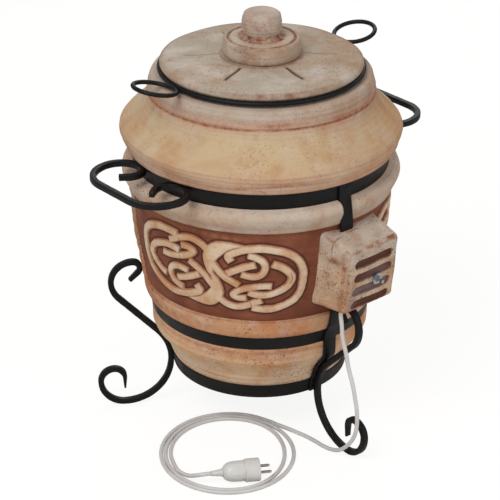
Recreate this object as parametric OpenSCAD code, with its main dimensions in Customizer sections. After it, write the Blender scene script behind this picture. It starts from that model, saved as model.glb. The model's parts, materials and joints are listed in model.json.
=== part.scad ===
// Electric clay tandoor oven: a fired clay pot in a forged frame with three
// scroll legs, two carrying handles, a lift-off lid and a small vent lid.
// Millimetres, +Z up, origin on the floor under the middle of the pot.

/* [Clay pot] */
// Largest radius of the domed shoulder
dome_r = 235; // [231:1:239]
// Radius of the mouth under the lid
mouth_r = 128; // [118:1:134]
// Depth of the brown panel below the clay around it
panel_depth = 4.5; // [3:0.5:6]
// Width of the raised strips between the panels
strip_w = 16; // [10:1:24]
// Height of the oven floor above the ground
oven_floor_z = 130; // [120:1:145]

/* [Frame] */
// Thickness of the flat hoops
hoop_t = 4; // [3:0.5:5]
// Height of the top hoop
top_hoop_h = 30; // [24:1:34]
// Height of the middle and bottom hoops
low_hoop_h = 24; // [20:1:26]
// Thickness of the upright straps
strap_t = 4; // [3:0.5:5]
// Width of the upright straps
strap_w = 25; // [20:1:30]
// Side of the square bar of legs and handles
bar = 10; // [8:0.5:11]
// Direction of the leg under the terminal box, from the front
leg_az = 38; // [34:1:42]
// Direction of the left handle, from the front
handle_az = -49.5; // [-56:0.5:-45]
// Reach of the handles from the axis
handle_r = 306; // [296:1:316]
// Height of the handles
handle_z = 486; // [482:1:488]

/* [Lids] */
// Diameter of the rod round the lid
lid_rod_d = 8; // [6:0.5:9]
// Diameter of the rod of the lid rings
ring_rod_d = 7.5; // [6:0.5:9]
// Radius of the lid rings
ring_r = 35; // [30:1:40]
// Tilt of the lid rings
ring_tilt = 12; // [6:1:18]
// Radius of the vent hole in the lid
vent_r = 42; // [36:1:46]
// Radius of the vent lid
vent_lid_r = 64; // [58:1:68]
// Radius of the knob
knob_r = 33; // [30:1:38]
// Depth of the cut lines on the lid
cut_d = 2; // [1:0.5:4]

/* [Terminal box] */
// Direction of the box, from the front
box_az = 42.3; // [41:0.1:44]
// Lean of the box face towards the floor
box_tilt = 5.4; // [3:0.2:7]
// Depth from the back plane to the face
box_d = 71; // [66:1:76]
// Width of the face
box_w = 113; // [106:1:118]
// Height of the face
box_h = 115; // [110:1:120]
// Wall of the box
box_wall = 11; // [9:0.5:13]
// Height of a slot in the face
slot_h = 16; // [12:1:18]
// Length of a slot in the face
slot_l = 84; // [70:1:88]
// Depth of a slot in the face
slot_d = 5; // [3:0.5:7]
// Diameter of the stud
stud_d = 6; // [5:0.5:8]

/* [Heaters] */
// Diameter of the tubular heating rings
heater_d = 8; // [6.5:0.5:9]
// Gap between a ring and the oven wall
heater_gap = 8; // [6:0.5:12]

/* [Cord and plug] */
// Diameter of the mains cord
cord_d = 7; // [6:0.1:7.1]
// Diameter of the plug body
plug_d = 35; // [32:0.5:36]
// Diameter of the plug collar
collar_d = 39; // [38:0.2:40]
// Diameter of a plug pin
pin_d = 4.8; // [4:0.1:5]
// Distance between the pins
pin_gap = 19; // [18:0.5:20]
// Length of the pins
pin_l = 19; // [17:0.5:20]

/* [Hidden] */
$fn = 96;
weld = 0.3;                  // how far welded bars sink into each other
lap = 0.2;                   // how far the runs of one bent rod overlap
bend_step = 7.5;             // degrees between the faces of a bent bar
lift_gap = 0.3;              // play under parts that lift off
dr = dome_r - 235;           // every radius of the pot follows the dome

// ---- hoops: [bottom height, height, outer radius at the bottom, at the top]
HOOP_TOP = [480 - top_hoop_h / 2, top_hoop_h, 215 + dr, 215 + dr];
HOOP_MID = [207 - low_hoop_h / 2, low_hoop_h, 186.6 + dr, 190.5 + dr];
HOOP_LOW = [82, low_hoop_h, 151 + dr, 154 + dr];
function hoop_out(H, z) = H[2] + (H[3] - H[2]) * (z - H[0]) / H[1];
function hoop_in(H, z) = hoop_out(H, z) - hoop_t;
function seat(H, step) = [[H[0] - step, 0], [H[0], 1], [H[0] + H[1], 1]];

// ---- pot outline as [height, radius]
pot_z0 = HOOP_LOW[0] + 4;
neck_z = 618.7;
panel_z0 = 254;
panel_z1 = 426;
zl = HOOP_LOW[0] + HOOP_LOW[1];
zm0 = HOOP_MID[0];
zm1 = HOOP_MID[0] + HOOP_MID[1];
zt0 = HOOP_TOP[0];
zt1 = HOOP_TOP[0] + HOOP_TOP[1];
PANEL = [for (p = [[254, 200.8], [262, 202.8], [277, 205], [293, 207.6], [309, 210.4],
    [325, 213.2], [341, 215.8], [358, 217.8], [374, 219.2], [390, 220.2], [408, 221],
    [426, 223]]) [p[0], p[1] + dr]];
FOOT = concat(
    [[pot_z0, hoop_in(HOOP_LOW, pot_z0)], [zl, hoop_in(HOOP_LOW, zl)]],
    [for (p = [[zl + 1, 153], [112, 154.8], [116, 156.2], [121, 158], [132, 162.3], [143, 168],
        [149, 172.6], [155, 177.6], [160, 181.6], [165, 184.2], [172, 185.4],
        [180, 185.8], [zm0 - 1, 186]]) [p[0], p[1] + dr]],
    [[zm0, hoop_in(HOOP_MID, zm0)], [zm1, hoop_in(HOOP_MID, zm1)]],
    [for (p = [[zm1 + 1.5, 193], [229, 197], [240, 199.2]]) [p[0], p[1] + dr]]);
SHOULDER = concat(
    [for (p = [[434, 226], [438, 228.4], [442, 230.5], [446, 232.2], [450, 233],
        [454, 232.8], [458, 231.6], [461, 229.6], [zt0 - 0.6, 225]]) [p[0], p[1] + dr]],
    [[zt0, hoop_in(HOOP_TOP, zt0)], [zt1, hoop_in(HOOP_TOP, zt1)]],
    [for (p = [[zt1 + 0.6, 224.5], [502, 227.6], [507, 229.6], [512, 231.6], [517, 233.6],
        [522, 234.8], [527, 235], [532, 233], [537, 229], [542, 224.2], [547, 218.8],
        [552, 213.3], [557, 208], [562, 203.2], [567, 199], [572, 195.6], [577, 193],
        [582, 191.1], [586, 189.8], [588, 187.8], [590, 187.6], [591.5, 188.4],
        [598, 187.5], [606, 186], [612, 184.2], [616.5, 182.4], [neck_z, 179.5]])
        [p[0], p[1] + dr]]);
POT_FULL = concat(FOOT, PANEL, SHOULDER);
RECESS = [for (i = [0 : len(PANEL) - 1]) [PANEL[i][0] + (i == 0 ? 1 : i == len(PANEL) - 1 ? -1 : 0),
    PANEL[i][1] - panel_depth]];
POT_PANEL = concat(FOOT, [PANEL[0]], RECESS, [PANEL[len(PANEL) - 1]], SHOULDER);
// oven room as [height, radius]
ROOM = concat([[oven_floor_z, 120 + dr]],
    [for (p = [[160, 133], [200, 145], [250, 153], [300, 160], [360, 165.5], [420, 170],
        [460, 171], [490, 171], [520, 172], [540, 170], [560, 158], [576, 142],
        [590, mouth_r]]) [p[0], p[1] + (p[0] < 590 ? dr : 0)]]);
function turned(P) = [for (p = P) [p[1], p[0]]];
function pot_r(z) = lookup(z, POT_FULL);
function panel_r(z) = lookup(z, POT_PANEL);
function room_r(z) = lookup(z, ROOM);

// ---- straps: inner face as [radius, height], from the top hoop down
STRAP = [for (p = [[215 - weld, 494], [215 - weld, zt0 + 4], [235.4, zt0 - 3.5], [235.6, 444],
    [224.6, 428], [222.6, 420], [201.9, 252], [199.6, 239], [197.9, 230], [194, zm1 + 2],
    [190.5 - weld, zm1 - 0.5], [186.7 - weld, zm0 + 1], [187, 178], [185.6, 165],
    [179, 154], [169, 141.5], [159, 121], [155.1, zl + 1.2], [153.9 - weld, zl - 0.6],
    [151.1 - weld, HOOP_LOW[0] + 1]]) [p[0] + dr, p[1]]];
function unit(v) = v / norm(v);
function side(P, i) = let (d = unit(P[i + 1] - P[i])) [-d[1], d[0]];
function corner(P, i, t) = let (n = len(P),
    a = side(P, max(0, i - 1)), b = side(P, min(n - 2, i))) P[i] + (a + b) * t / (1 + a * b);
strap_az = leg_az;
strap_slope = atan((STRAP[5][0] - STRAP[6][0]) / (STRAP[5][1] - STRAP[6][1]));

// ---- legs: a run of arcs in the plane of radius and height
foot_cut = 0.45;             // how much is filed flat under the foot
leg_foot_R = 42;
leg_in_R = 24;
leg_tip_R = 18;
leg_top_R = 43;
leg_bend_R = 38;
leg_curl_R = 12;
leg_tip_l = 20;
leg_top = [214.9 + dr, 240];    // middle of the big upper arc
// where the straight run ends, and where the lower arc touches the bottom hoop
leg_run_end = leg_top + leg_top_R * [sin(45), -sin(45)];
leg_touch = hoop_out(HOOP_LOW, HOOP_LOW[0] + 4) - weld + bar / 2;
leg_R = (leg_run_end[1] - leg_run_end[0] + leg_touch - bar / 2 + foot_cut) / (2 * sin(45));
leg_low = [leg_touch + leg_R, leg_R + bar / 2 - foot_cut];

// ---- handles: arcs in a level plane
handle_ty = 94;              // half of its width, to the middle of the bar
handle_R2 = 38;              // arc that meets the hoop
handle_D = HOOP_TOP[2] + bar / 2 - weld;
handle_cx = sqrt(pow(handle_D + handle_R2, 2) - pow(handle_ty - handle_R2, 2));
handle_R = handle_r - handle_cx;
handle_half = handle_ty - handle_R;
handle_touch = atan((handle_ty - handle_R2) / handle_cx);
handle_R3 = 24;
handle_tip_l = 16;

// ---- lids
lid_z = neck_z + lift_gap;
lid_r = 164 + dr;
lid_lip_r = 168 + dr;
lid_rod_R = lid_r + lid_rod_d / 2;
lid_rod_z = 626;
lid_top_z = 646.7;
lid_edge_z = 640;
spigot_d = 12;
spigot_r = mouth_r - 3;
lid_slope = atan((lid_top_z - lid_edge_z - 2) / (160 + dr - 70));
ring_c = lid_rod_R + lid_rod_d / 2 - weld + ring_rod_d / 2 + ring_r * cos(ring_tilt);
ring_z = lid_rod_z + ring_r * sin(ring_tilt);
RING_AZ = [-54, 131];
vent_z = lid_top_z + lift_gap;

// ---- terminal box, in its own frame: +X out of its face
box_r = 198 + dr;
box_z = 348;
box_back = 12;               // stock behind the back plane, scribed to the pot
box_back_w = box_w + 13;
box_back_h = box_h + 28;
box_round = 9;
slot_pitch = 25.5;
slot_mid = -8;
stud_y = 11;
stud_z = -9;
plate_x = 21;
plate_t = 3;
stud_l = box_d - plate_x + 14;

// ---- heaters, at heights that suit the block in the box
heater_low_z = box_z - box_h / 2 + box_wall + 8.5;
heater_top_z = box_z + box_h / 2 - box_wall - 24.5;
tail_y = [6, 34];
tail_bend = 14;
tail_x = 238 + dr;
block_t = 12;
block_x = tail_x - block_t + 2;
block_w = tail_y[1] - tail_y[0] + 20;
block_h = heater_top_z - heater_low_z + 26;
screw_z = box_z + 4;
CLIP_AZ = [box_az + 90, box_az + 180, box_az + 270];
clip_d = 4;
clip_in = 12;

// ---- cord route, laid by hand
exit_p = [131, -200, 276];
// underside of the box over the exit, and how far the relief stands in the box
exit_in = 38;
under_z = box_z - box_back_h / 2 + (box_back_h - box_h) / 2 * exit_in / box_d
    - exit_in * sin(box_tilt);
relief_top = under_z + box_wall + 10.6;
HANG = [exit_p, [131, -200, 268], [133, -203, 252], [135, -206, 229], [141, -213, 203],
    [146, -219, 177], [153, -228, 151], [157, -233, 129], [160, -238, 111], [161, -238, 88],
    [159, -235, 64], [153, -228, 44], [144, -217, 26], [134, -206, 13], [122, -193, 6],
    [108, -178, 3.5], [94, -162, 3.5], [79, -147, 3.5], [63, -134, 3.5], [46, -121, 3.5],
    [32, -111, 3.5]];
TAIL = [[-136, -256, 3.5], [-127.5, -266.5, 4], [-118, -277, 7], [-108, -285.5, 12.5],
    [-98, -291, 17.5]];
coil_c = [-52, -201];
coil_a = 116;
coil_b = 125;
coil_u0 = -0.1;
coil_u1 = 2.306;
coil_step = 7.7;
coil_loop = 24;
coil_sides = 6;
tube_sides = 10;
function coil_in(u) = coil_step * u
    + (u > 1.25 ? 8 * pow(max(0, cos(90 + 360 * u)), 3) : 0)
    + (u > 2 ? 14 * pow(u - 2, 2) : 0);
function coil_p(u) = let (q = 90 + 360 * u, s = coil_in(u))
    [coil_c[0] + (coil_a - s) * cos(q), coil_c[1] + (coil_b - s) * sin(q), cord_d / 2];
function coil_dir(u) = unit(coil_p(u + 0.002) - coil_p(u - 0.002));
coil_n = ceil((coil_u1 - coil_u0) * coil_loop);
COIL = concat([coil_p(coil_u0) - cord_d * coil_dir(coil_u0)],
    [for (i = [0 : coil_n]) coil_p(coil_u0 + (coil_u1 - coil_u0) * i / coil_n)],
    [coil_p(coil_u1) + cord_d * coil_dir(coil_u1)]);
coil_start = COIL[0];
coil_end = COIL[len(COIL) - 1];

// ---- plug, lying on its collar
plug_yaw = 10;
plug_rear = [-80, -290, collar_d / 2];
plug_dir = [cos(plug_yaw), sin(plug_yaw), 0];
relief_l = 20;
plug_l = 36;
collar_l = 25;
ROUTE_A = concat([for (p = HANG) [p[0], p[1], p[2] == 3.5 ? cord_d / 2 : p[2]]],
    [coil_start - cord_d * coil_dir(coil_u0), coil_start]);
ROUTE_B = concat([coil_end, coil_end + cord_d * coil_dir(coil_u1)],
    [for (p = TAIL) [p[0], p[1], p[2] == 3.5 ? cord_d / 2 : p[2]]],
    [plug_rear - 2 * cord_d * plug_dir * 0.6, plug_rear]);

// ---- a tube swept along points, rings square to the way
function way(P, i) = unit(P[min(len(P) - 1, i + 1)] - P[max(0, i - 1)]);
function level(v) = norm([v[0], v[1]]) < 0.01 ? [1, 0, 0] : unit([-v[1], v[0], 0]);
function spun(P, i, last) = let (t = way(P, i), s = last - (last * t) * t)
    i == len(P) - 1 ? [unit(s)] : concat([unit(s)], spun(P, i + 1, unit(s)));
function smooth(P, n) = let (m = len(P)) concat(
    [for (i = [0 : m - 2], k = [0 : n - 1]) let (t = k / n,
        a = P[max(0, i - 1)], b = P[i], c = P[i + 1], d = P[min(m - 1, i + 2)])
        i == 0 || i == m - 2 ? b + (c - b) * t :
        b + t * (c - a) / 2 + t * t * (2 * a - 5 * b + 4 * c - d) / 2
            + t * t * t * (3 * b - a - 3 * c + d) / 2], [P[m - 1]]);

clay_c = [0.80, 0.70, 0.60];
black_c = [0.11, 0.11, 0.12];
cord_c = [0.82, 0.80, 0.79];

// ---- placing helpers
module toward(az) rotate([0, 0, az - 90]) children();
module box_frame() toward(box_az) translate([box_r, 0, box_z]) rotate([0, box_tilt, 0]) children();

// ---- a bent flat-sided bar, laid out along a run of [point, heading] in the XY plane
function turn(c, R, a0, a1) = let (n = max(2, ceil(abs(a1 - a0) / bend_step)),
    d = a1 > a0 ? 90 : -90) [for (i = [0 : n]) let (a = a0 + (a1 - a0) * i / n)
    [c + R * [cos(a), sin(a)], a + d]];
function tidy(Q) = [for (i = [0 : len(Q) - 1]) if (i == 0 || norm(Q[i][0] - Q[i - 1][0]) > 0.01) Q[i]];
function along(q, l) = [[q[0] + l * [cos(q[1]), sin(q[1])], q[1]]];
function off_line(q, w) = q[0] + w * [-sin(q[1]), cos(q[1])];
module bent_bar(Q, w, t, tip0, tip1) translate([0, 0, -t / 2]) linear_extrude(height = t)
    polygon(let (m = len(Q) - 1) concat(
        [for (i = [0 : m]) off_line(Q[i], (i == 0 ? tip0 : i == m ? tip1 : w) / 2)],
        [for (i = [m : -1 : 0]) off_line(Q[i], -(i == 0 ? tip0 : i == m ? tip1 : w) / 2)]));
module rod_arc(c, R, a0, a1, d) {
    q = lap / R * 180 / PI;
    translate([c[0], c[1], 0]) rotate([0, 0, a0 - q])
        rotate_extrude(angle = a1 - a0 + 2 * q) translate([R, 0]) circle(d = d);
}
module tube(P, d, n) {
    m = len(P);
    S = spun(P, 0, level(way(P, 0)));
    V = [for (i = [0 : m - 1]) let (t = way(P, i), s = S[i], u = cross(t, s))
        for (k = [0 : n - 1]) P[i] + (sin(360 * (k + 0.5) / n) * s + cos(360 * (k + 0.5) / n) * u)
            * d / 2];
    F = concat([[for (k = [0 : n - 1]) k]], [[for (k = [n - 1 : -1 : 0]) (m - 1) * n + k]],
        [for (i = [0 : m - 2], k = [0 : n - 1]) let (a = i * n + k, b = i * n + (k + 1) % n)
            [a, a + n, b + n, b]]);
    polyhedron(V, F, convexity = 8);
}

// ---- clay
module clay_body() color(clay_c) difference() {
    union() {
        rotate_extrude() polygon(concat([[0, pot_z0]], turned(POT_PANEL), [[0, neck_z]]));
        for (az = [-78, 162]) toward(az)
            rotate([0, 0, -strip_w / 2 / 220 * 180 / PI]) rotate_extrude(angle = strip_w / 220 * 180 / PI)
                polygon(concat([for (p = turned(PANEL)) p],
                    [for (i = [len(PANEL) - 1 : -1 : 0]) [PANEL[i][1] - panel_depth - 3, PANEL[i][0]]]));
    }
    rotate_extrude() polygon(concat([[0, oven_floor_z]], turned(ROOM),
        [[mouth_r, neck_z + 1], [0, neck_z + 1]]));
    for (z = [heater_low_z, heater_top_z], y = tail_y) toward(box_az) translate([box_r - 70, y, z])
        rotate([0, 90, 0]) cylinder(d = heater_d + 1, h = 90);
    for (z = [heater_low_z, heater_top_z], az = CLIP_AZ) toward(az)
        translate([room_r(z) - 6, 0, z - heater_d / 2 - clip_d / 2]) rotate([0, 90, 0])
            cylinder(d = clip_d + 0.2, h = clip_in + 6);
}

module main_lid() color(clay_c) difference() {
    rotate_extrude() polygon([[vent_r, lid_z - spigot_d], [spigot_r - 2, lid_z - spigot_d],
        [spigot_r, lid_z - spigot_d + 2], [spigot_r, lid_z], [lid_r, lid_z], [lid_r, 631],
        [lid_lip_r - 0.6, 632], [lid_lip_r, 634], [lid_lip_r - 0.2, 636.5],
        [lid_lip_r - 1.6, 638.6], [lid_lip_r - 4.4, lid_edge_z], [160 + dr, lid_edge_z + 1],
        [150 + dr, lid_edge_z + 2], [72, lid_top_z], [vent_r, lid_top_z]]);
    for (k = [0 : 5]) toward(-28 + 60 * k)
        translate([72, 0, lid_top_z - cut_d]) rotate([0, lid_slope, 0])
            translate([0, -1.5, 0]) cube([54, 3, 20]);
}

module lid_hoop() color(black_c)
    translate([0, 0, lid_rod_z]) rotate_extrude() translate([lid_rod_R, 0]) circle(d = lid_rod_d, $fn = 32);

module lid_ring(az) color(black_c) toward(az) translate([ring_c, 0, ring_z])
    rotate([0, -ring_tilt, 0]) rotate_extrude() translate([ring_r, 0]) circle(d = ring_rod_d, $fn = 32);

module vent_plug() color(clay_c) rotate_extrude() polygon([[0, vent_z - 24], [vent_r - 5, vent_z - 24],
    [vent_r - 2, vent_z - 21], [vent_r - 2, vent_z], [vent_lid_r - 3, vent_z],
    [vent_lid_r, vent_z + 3], [vent_lid_r, vent_z + 25], [vent_lid_r - 1.2, vent_z + 27.6],
    [vent_lid_r - 4, vent_z + 29], [57.5, vent_z + 29.4], [56.5, vent_z + 26.6],
    [53.5, vent_z + 26.6], [52.5, vent_z + 29.6], [knob_r + 3, vent_z + 30.4],
    [knob_r - 1, vent_z + 31.8], [knob_r - 2.6, vent_z + 34], [knob_r - 2.8, vent_z + 37],
    [knob_r - 1.4, vent_z + 41], [knob_r, vent_z + 46], [knob_r, vent_z + 52],
    [knob_r - 1, vent_z + 61], [knob_r - 2.4, vent_z + 67], [knob_r - 5, vent_z + 71],
    [knob_r - 9, vent_z + 73], [0, vent_z + 73]]);

// ---- forged frame
module hoop(H) color(black_c) rotate_extrude() polygon([[H[2] - hoop_t, H[0]], [H[2], H[0]],
    [H[3], H[0] + H[1]], [H[3] - hoop_t, H[0] + H[1]]]);

module strap(az) color(black_c) toward(az) rotate([90, 0, 0]) translate([0, 0, -strap_w / 2])
    linear_extrude(height = strap_w) polygon(concat(STRAP,
        [for (i = [len(STRAP) - 1 : -1 : 0]) corner(STRAP, i, strap_t)]));

module leg(az, out) {
    top = leg_top + [out, 0];
    bend = top + [leg_top_R - leg_bend_R, 0];
    curl = bend + [0, leg_bend_R - leg_curl_R];
    low = leg_low + [out, 0];
    foot = low - [0, leg_R - leg_foot_R];
    heel = foot + [leg_foot_R - leg_in_R, 0];
    toe = heel + [0, leg_in_R - leg_tip_R];
    in_end = turn(toe, leg_tip_R, 180, 90);
    Q = concat(along([in_end[0][0], 90], -leg_tip_l), in_end, turn(heel, leg_in_R, 90, 0),
        turn(foot, leg_foot_R, 0, -90), turn(low, leg_R, 270, 135),
        turn(top, leg_top_R, -45, 0), turn(bend, leg_bend_R, 0, 90),
        turn(curl, leg_curl_R, 90, 225), along(turn(curl, leg_curl_R, 90, 225)[len(
            turn(curl, leg_curl_R, 90, 225)) - 1], leg_tip_l));
    color(black_c) toward(az) difference() {
        rotate([90, 0, 0]) bent_bar(tidy(Q), bar, bar, bar * 0.65, bar * 0.65);
        translate([low[0] - 2 * leg_foot_R, -bar, -bar]) cube([4 * leg_foot_R, 2 * bar, bar]);
    }
}

module handle(az) {
    c2 = [handle_cx, handle_ty - handle_R2];
    c3 = c2 - (handle_R2 - handle_R3) * [cos(handle_touch), sin(handle_touch)];
    H = concat(turn([handle_cx, handle_half], handle_R, 0, 90),
        turn(c2, handle_R2, 90, 180 + handle_touch), turn(c3, handle_R3, 180 + handle_touch, 305));
    E = tidy(concat(H, along(H[len(H) - 1], handle_tip_l)));
    color(black_c) toward(az) translate([0, 0, handle_z]) bent_bar(concat(
        [for (i = [len(E) - 1 : -1 : 0]) [[E[i][0][0], -E[i][0][1]], 180 - E[i][1]]], E),
        bar, bar, bar, bar);
}

module base_cross() color(black_c) intersection() {
    for (a = [leg_az, leg_az + 90]) toward(a)
        translate([-200, -12.5, HOOP_LOW[0]]) cube([400, 25, pot_z0 - HOOP_LOW[0]]);
    translate([0, 0, HOOP_LOW[0] - 1])
        cylinder(r = hoop_in(HOOP_LOW, HOOP_LOW[0]) + weld + 0.2, h = pot_z0 - HOOP_LOW[0] + 2);
}

// ---- terminal box and what it covers
module slot_cut(z) translate([box_d - slot_d, 0, z]) rotate([0, 90, 0]) {
    for (s = [-1, 1]) translate([0, s * (slot_l - slot_h) / 2, 0])
        cylinder(d = slot_h, h = slot_d + 4, $fn = 32);
    translate([-slot_h / 2, -(slot_l - slot_h) / 2, 0]) cube([slot_h, slot_l - slot_h, slot_d + 4]);
}

module terminal_cover() color(clay_c) difference() {
    box_frame() difference() {
        hull() {
            for (sy = [-1, 1], sz = [-1, 1]) {
                translate([box_d - box_round, sy * (box_w / 2 - box_round), sz * (box_h / 2 - box_round)])
                    sphere(r = box_round, $fn = 24);
                translate([-box_back, sy * (box_back_w / 2 - box_round + 1),
                    sz * (box_back_h / 2 - box_round + 2)]) sphere(r = box_round, $fn = 24);
            }
        }
        hull() {
            translate([-box_back - 12, 2 * box_wall / 2 - box_back_w / 2 - 1,
                box_wall - box_back_h / 2 - 2])
                cube([1, box_back_w - 2 * box_wall + 2, box_back_h - 2 * box_wall + 4]);
            translate([box_d - box_wall - 1, box_wall - box_w / 2, box_wall - box_h / 2])
                cube([1, box_w - 2 * box_wall, box_h - 2 * box_wall]);
        }
        for (k = [-1.5 : 1 : 1.5]) slot_cut(slot_mid + k * slot_pitch);
        translate([0, stud_y, stud_z]) rotate([0, 90, 0])
            cylinder(d = stud_d + 1, h = box_d + 5, $fn = 32);
    }
    // scribed to the pot
    rotate_extrude() polygon(concat([[0, 240], [RECESS[0][1], 240]], turned(RECESS),
        [[RECESS[len(RECESS) - 1][1], 450], [0, 450]]));
    // notch over the strap
    toward(strap_az) translate([150, -strap_w / 2 - 1, 200])
        cube([STRAP[5][0] + strap_t + 4 - 150, strap_w + 2, 260]);
    translate([exit_p[0], exit_p[1], under_z - 18]) cylinder(d = 12.4, h = box_wall + 24, $fn = 32);
}

module mounting_plate() color([0.62, 0.63, 0.64]) difference() {
    union() {
        box_frame() translate([plate_x, -30, -27]) cube([plate_t, 52, 42]);
        toward(strap_az) translate([STRAP[6][0], 0, STRAP[6][1]]) rotate([0, strap_slope, 0])
            translate([strap_t - weld, -10, 86]) cube([6, 20, 24]);
    }
    box_frame() translate([0, stud_y, stud_z]) rotate([0, 90, 0]) cylinder(d = stud_d, h = 60, $fn = 32);
}

module cover_stud() color([0.75, 0.76, 0.78]) box_frame() translate([plate_x, stud_y, stud_z])
    rotate([0, 90, 0]) cylinder(d = stud_d, h = stud_l, $fn = 32);

module cover_washer() color([0.75, 0.76, 0.78]) box_frame() translate([box_d, stud_y, stud_z])
    rotate([0, 90, 0]) difference() {
        cylinder(d = 20, h = 1.6);
        translate([0, 0, -1]) cylinder(d = stud_d, h = 4);
    }

module cover_nut() color([0.75, 0.76, 0.78]) box_frame() translate([box_d + 1.6, stud_y, stud_z])
    rotate([0, 90, 0]) difference() {
        cylinder(d = (stud_d * 1.67) / cos(30), h = 5, $fn = 6);
        translate([0, 0, -1]) cylinder(d = stud_d, h = 8);
    }

module heater(z) {
    R = room_r(z) - heater_gap - heater_d / 2;
    fa = asin((tail_y[0] - tail_bend) / (R + tail_bend));
    fb = asin((tail_y[1] + tail_bend) / (R + tail_bend));
    ca = [(R + tail_bend) * cos(fa), tail_y[0] - tail_bend];
    cb = [(R + tail_bend) * cos(fb), tail_y[1] + tail_bend];
    color([0.35, 0.33, 0.31]) toward(box_az) translate([0, 0, z]) {
        rod_arc([0, 0], R, fb, 360 + fa, heater_d, $fn = 32);
        rod_arc(ca, tail_bend, 90, 180 + fa, heater_d, $fn = 32);
        rod_arc(cb, tail_bend, 180 + fb, 270, heater_d, $fn = 32);
        translate([ca[0], tail_y[0], 0]) rotate([0, 90, 0])
            cylinder(d = heater_d, h = tail_x - ca[0], $fn = 32);
        translate([cb[0], tail_y[1], 0]) rotate([0, 90, 0])
            cylinder(d = heater_d, h = tail_x - cb[0], $fn = 32);
    }
}

module heater_clips() color([0.6, 0.6, 0.6])
    for (z = [heater_low_z, heater_top_z], az = CLIP_AZ) toward(az)
        translate([room_r(z) - heater_gap - heater_d - 4, 0, z - heater_d / 2 - clip_d / 2])
            rotate([0, 90, 0]) cylinder(d = clip_d, h = heater_gap + heater_d + 4 + clip_in, $fn = 32);

module terminal_block() color([0.90, 0.88, 0.84]) difference() {
    toward(box_az) block();
    box_frame() translate([0, stud_y, stud_z]) rotate([0, 90, 0])
        cylinder(d = stud_d + 4, h = 80, $fn = 32);
}
module block() difference() {
    translate([block_x, tail_y[0] - 10, heater_low_z - 13]) cube([block_t, block_w, block_h]);
    for (z = [heater_low_z, heater_top_z], y = tail_y)
        translate([block_x - 1, y, z]) rotate([0, 90, 0]) cylinder(d = heater_d, h = block_t - 1);
    for (y = tail_y) translate([block_x + block_t - 6, y, screw_z]) rotate([0, 90, 0])
        cylinder(d = 4, h = 10, $fn = 32);
}

module terminal_screws() color([0.75, 0.62, 0.35]) toward(box_az)
    for (y = tail_y) translate([block_x + block_t - 6, y, screw_z]) rotate([0, 90, 0]) {
        cylinder(d = 4, h = 6, $fn = 32);
        translate([0, 0, 6]) cylinder(d = 8, h = 2.4, $fn = 32);
    }

module inner_cable() color(cord_c) translate([exit_p[0], exit_p[1], relief_top]) cylinder(d = cord_d, h = 20);

module cord_relief() color([0.16, 0.16, 0.17]) translate(exit_p) {
    cylinder(d1 = cord_d + 1.6, d2 = 12, h = 8, $fn = 32);
    translate([0, 0, 8]) cylinder(d = 12, h = relief_top - exit_p[2] - 8, $fn = 32);
}

module cord_lead() color(cord_c) tube(smooth(ROUTE_A, 2), cord_d, tube_sides);
module cord_coil() color(cord_c) tube(COIL, cord_d, coil_sides);
module cord_tail() color(cord_c) tube(smooth(ROUTE_B, 2), cord_d, tube_sides);

module plug_frame() translate(plug_rear) rotate([0, 0, plug_yaw]) rotate([0, 90, 0]) children();

module plug_relief() color(cord_c) plug_frame() cylinder(d1 = cord_d + 1.4, d2 = 14, h = relief_l);
module plug_body() color([0.86, 0.85, 0.83]) plug_frame() translate([0, 0, relief_l]) difference() {
    rotate_extrude() polygon([[0, 0], [10, 0], [plug_d / 2 - 3, 6], [plug_d / 2 - 0.6, 14],
        [plug_d / 2, 22], [plug_d / 2, plug_l], [collar_d / 2 - 0.8, plug_l],
        [collar_d / 2, plug_l + 0.8], [collar_d / 2, plug_l + collar_l - 0.8],
        [collar_d / 2 - 0.8, plug_l + collar_l], [0, plug_l + collar_l]]);
    for (s = [-1, 1]) translate([0, s * pin_gap / 2, plug_l + collar_l - 14])
        cylinder(d = pin_d, h = 16);
}
module plug_pins() color([0.72, 0.73, 0.75]) plug_frame()
    for (s = [-1, 1]) translate([0, s * pin_gap / 2, relief_l + plug_l + collar_l - 14]) {
        cylinder(d = pin_d, h = 14 + pin_l - 2);
        translate([0, 0, 14 + pin_l - 2]) cylinder(d1 = pin_d, d2 = pin_d - 2, h = 2);
    }

// how near the turns of the coil come to each other
coil_gap = min([for (u = [coil_u0 : 0.01 : coil_u1 - 0.99], v = [0.96 : 0.01 : 1.04])
    norm(coil_p(min(coil_u1, u + v)) - coil_p(u))]) - cord_d;
echo(coil_gap = coil_gap, coil_start = coil_start, coil_end = coil_end);

clay_body();
main_lid();
lid_hoop();
lid_ring(RING_AZ[0]);  // lid_ring_left
lid_ring(RING_AZ[1]);  // lid_ring_right
vent_plug();
hoop(HOOP_TOP);  // top_hoop
hoop(HOOP_MID);  // mid_hoop
hoop(HOOP_LOW);  // bottom_hoop
strap(strap_az);  // strap_front
strap(strap_az + 180);  // strap_rear
leg(leg_az, strap_t);  // leg_front
leg(leg_az - 120, 0);  // leg_left
leg(leg_az + 120, 0);  // leg_rear
handle(handle_az);  // handle_left
handle(handle_az + 180);  // handle_right
base_cross();
terminal_cover();
mounting_plate();
cover_stud();
cover_washer();
cover_nut();
terminal_block();
terminal_screws();
heater(heater_low_z);  // heater_lower
heater(heater_top_z);  // heater_upper
heater_clips();
inner_cable();
cord_relief();
cord_lead();
cord_coil();
cord_tail();
plug_relief();
plug_body();
plug_pins();
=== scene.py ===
# %% [markdown]
# # A clay tandoor oven in a forged frame
# The solid model gives the true sizes and the moving bodies. This script dresses it: it replaces most
# solids with finer surfaces in the same places and gives every piece a finish made of nodes.
# Everything is in metres inside Blender, but the shapes below are written in millimetres.

# %% Load the frame
import json
import math
import bpy
import numpy as np
from mathutils import Matrix

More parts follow.
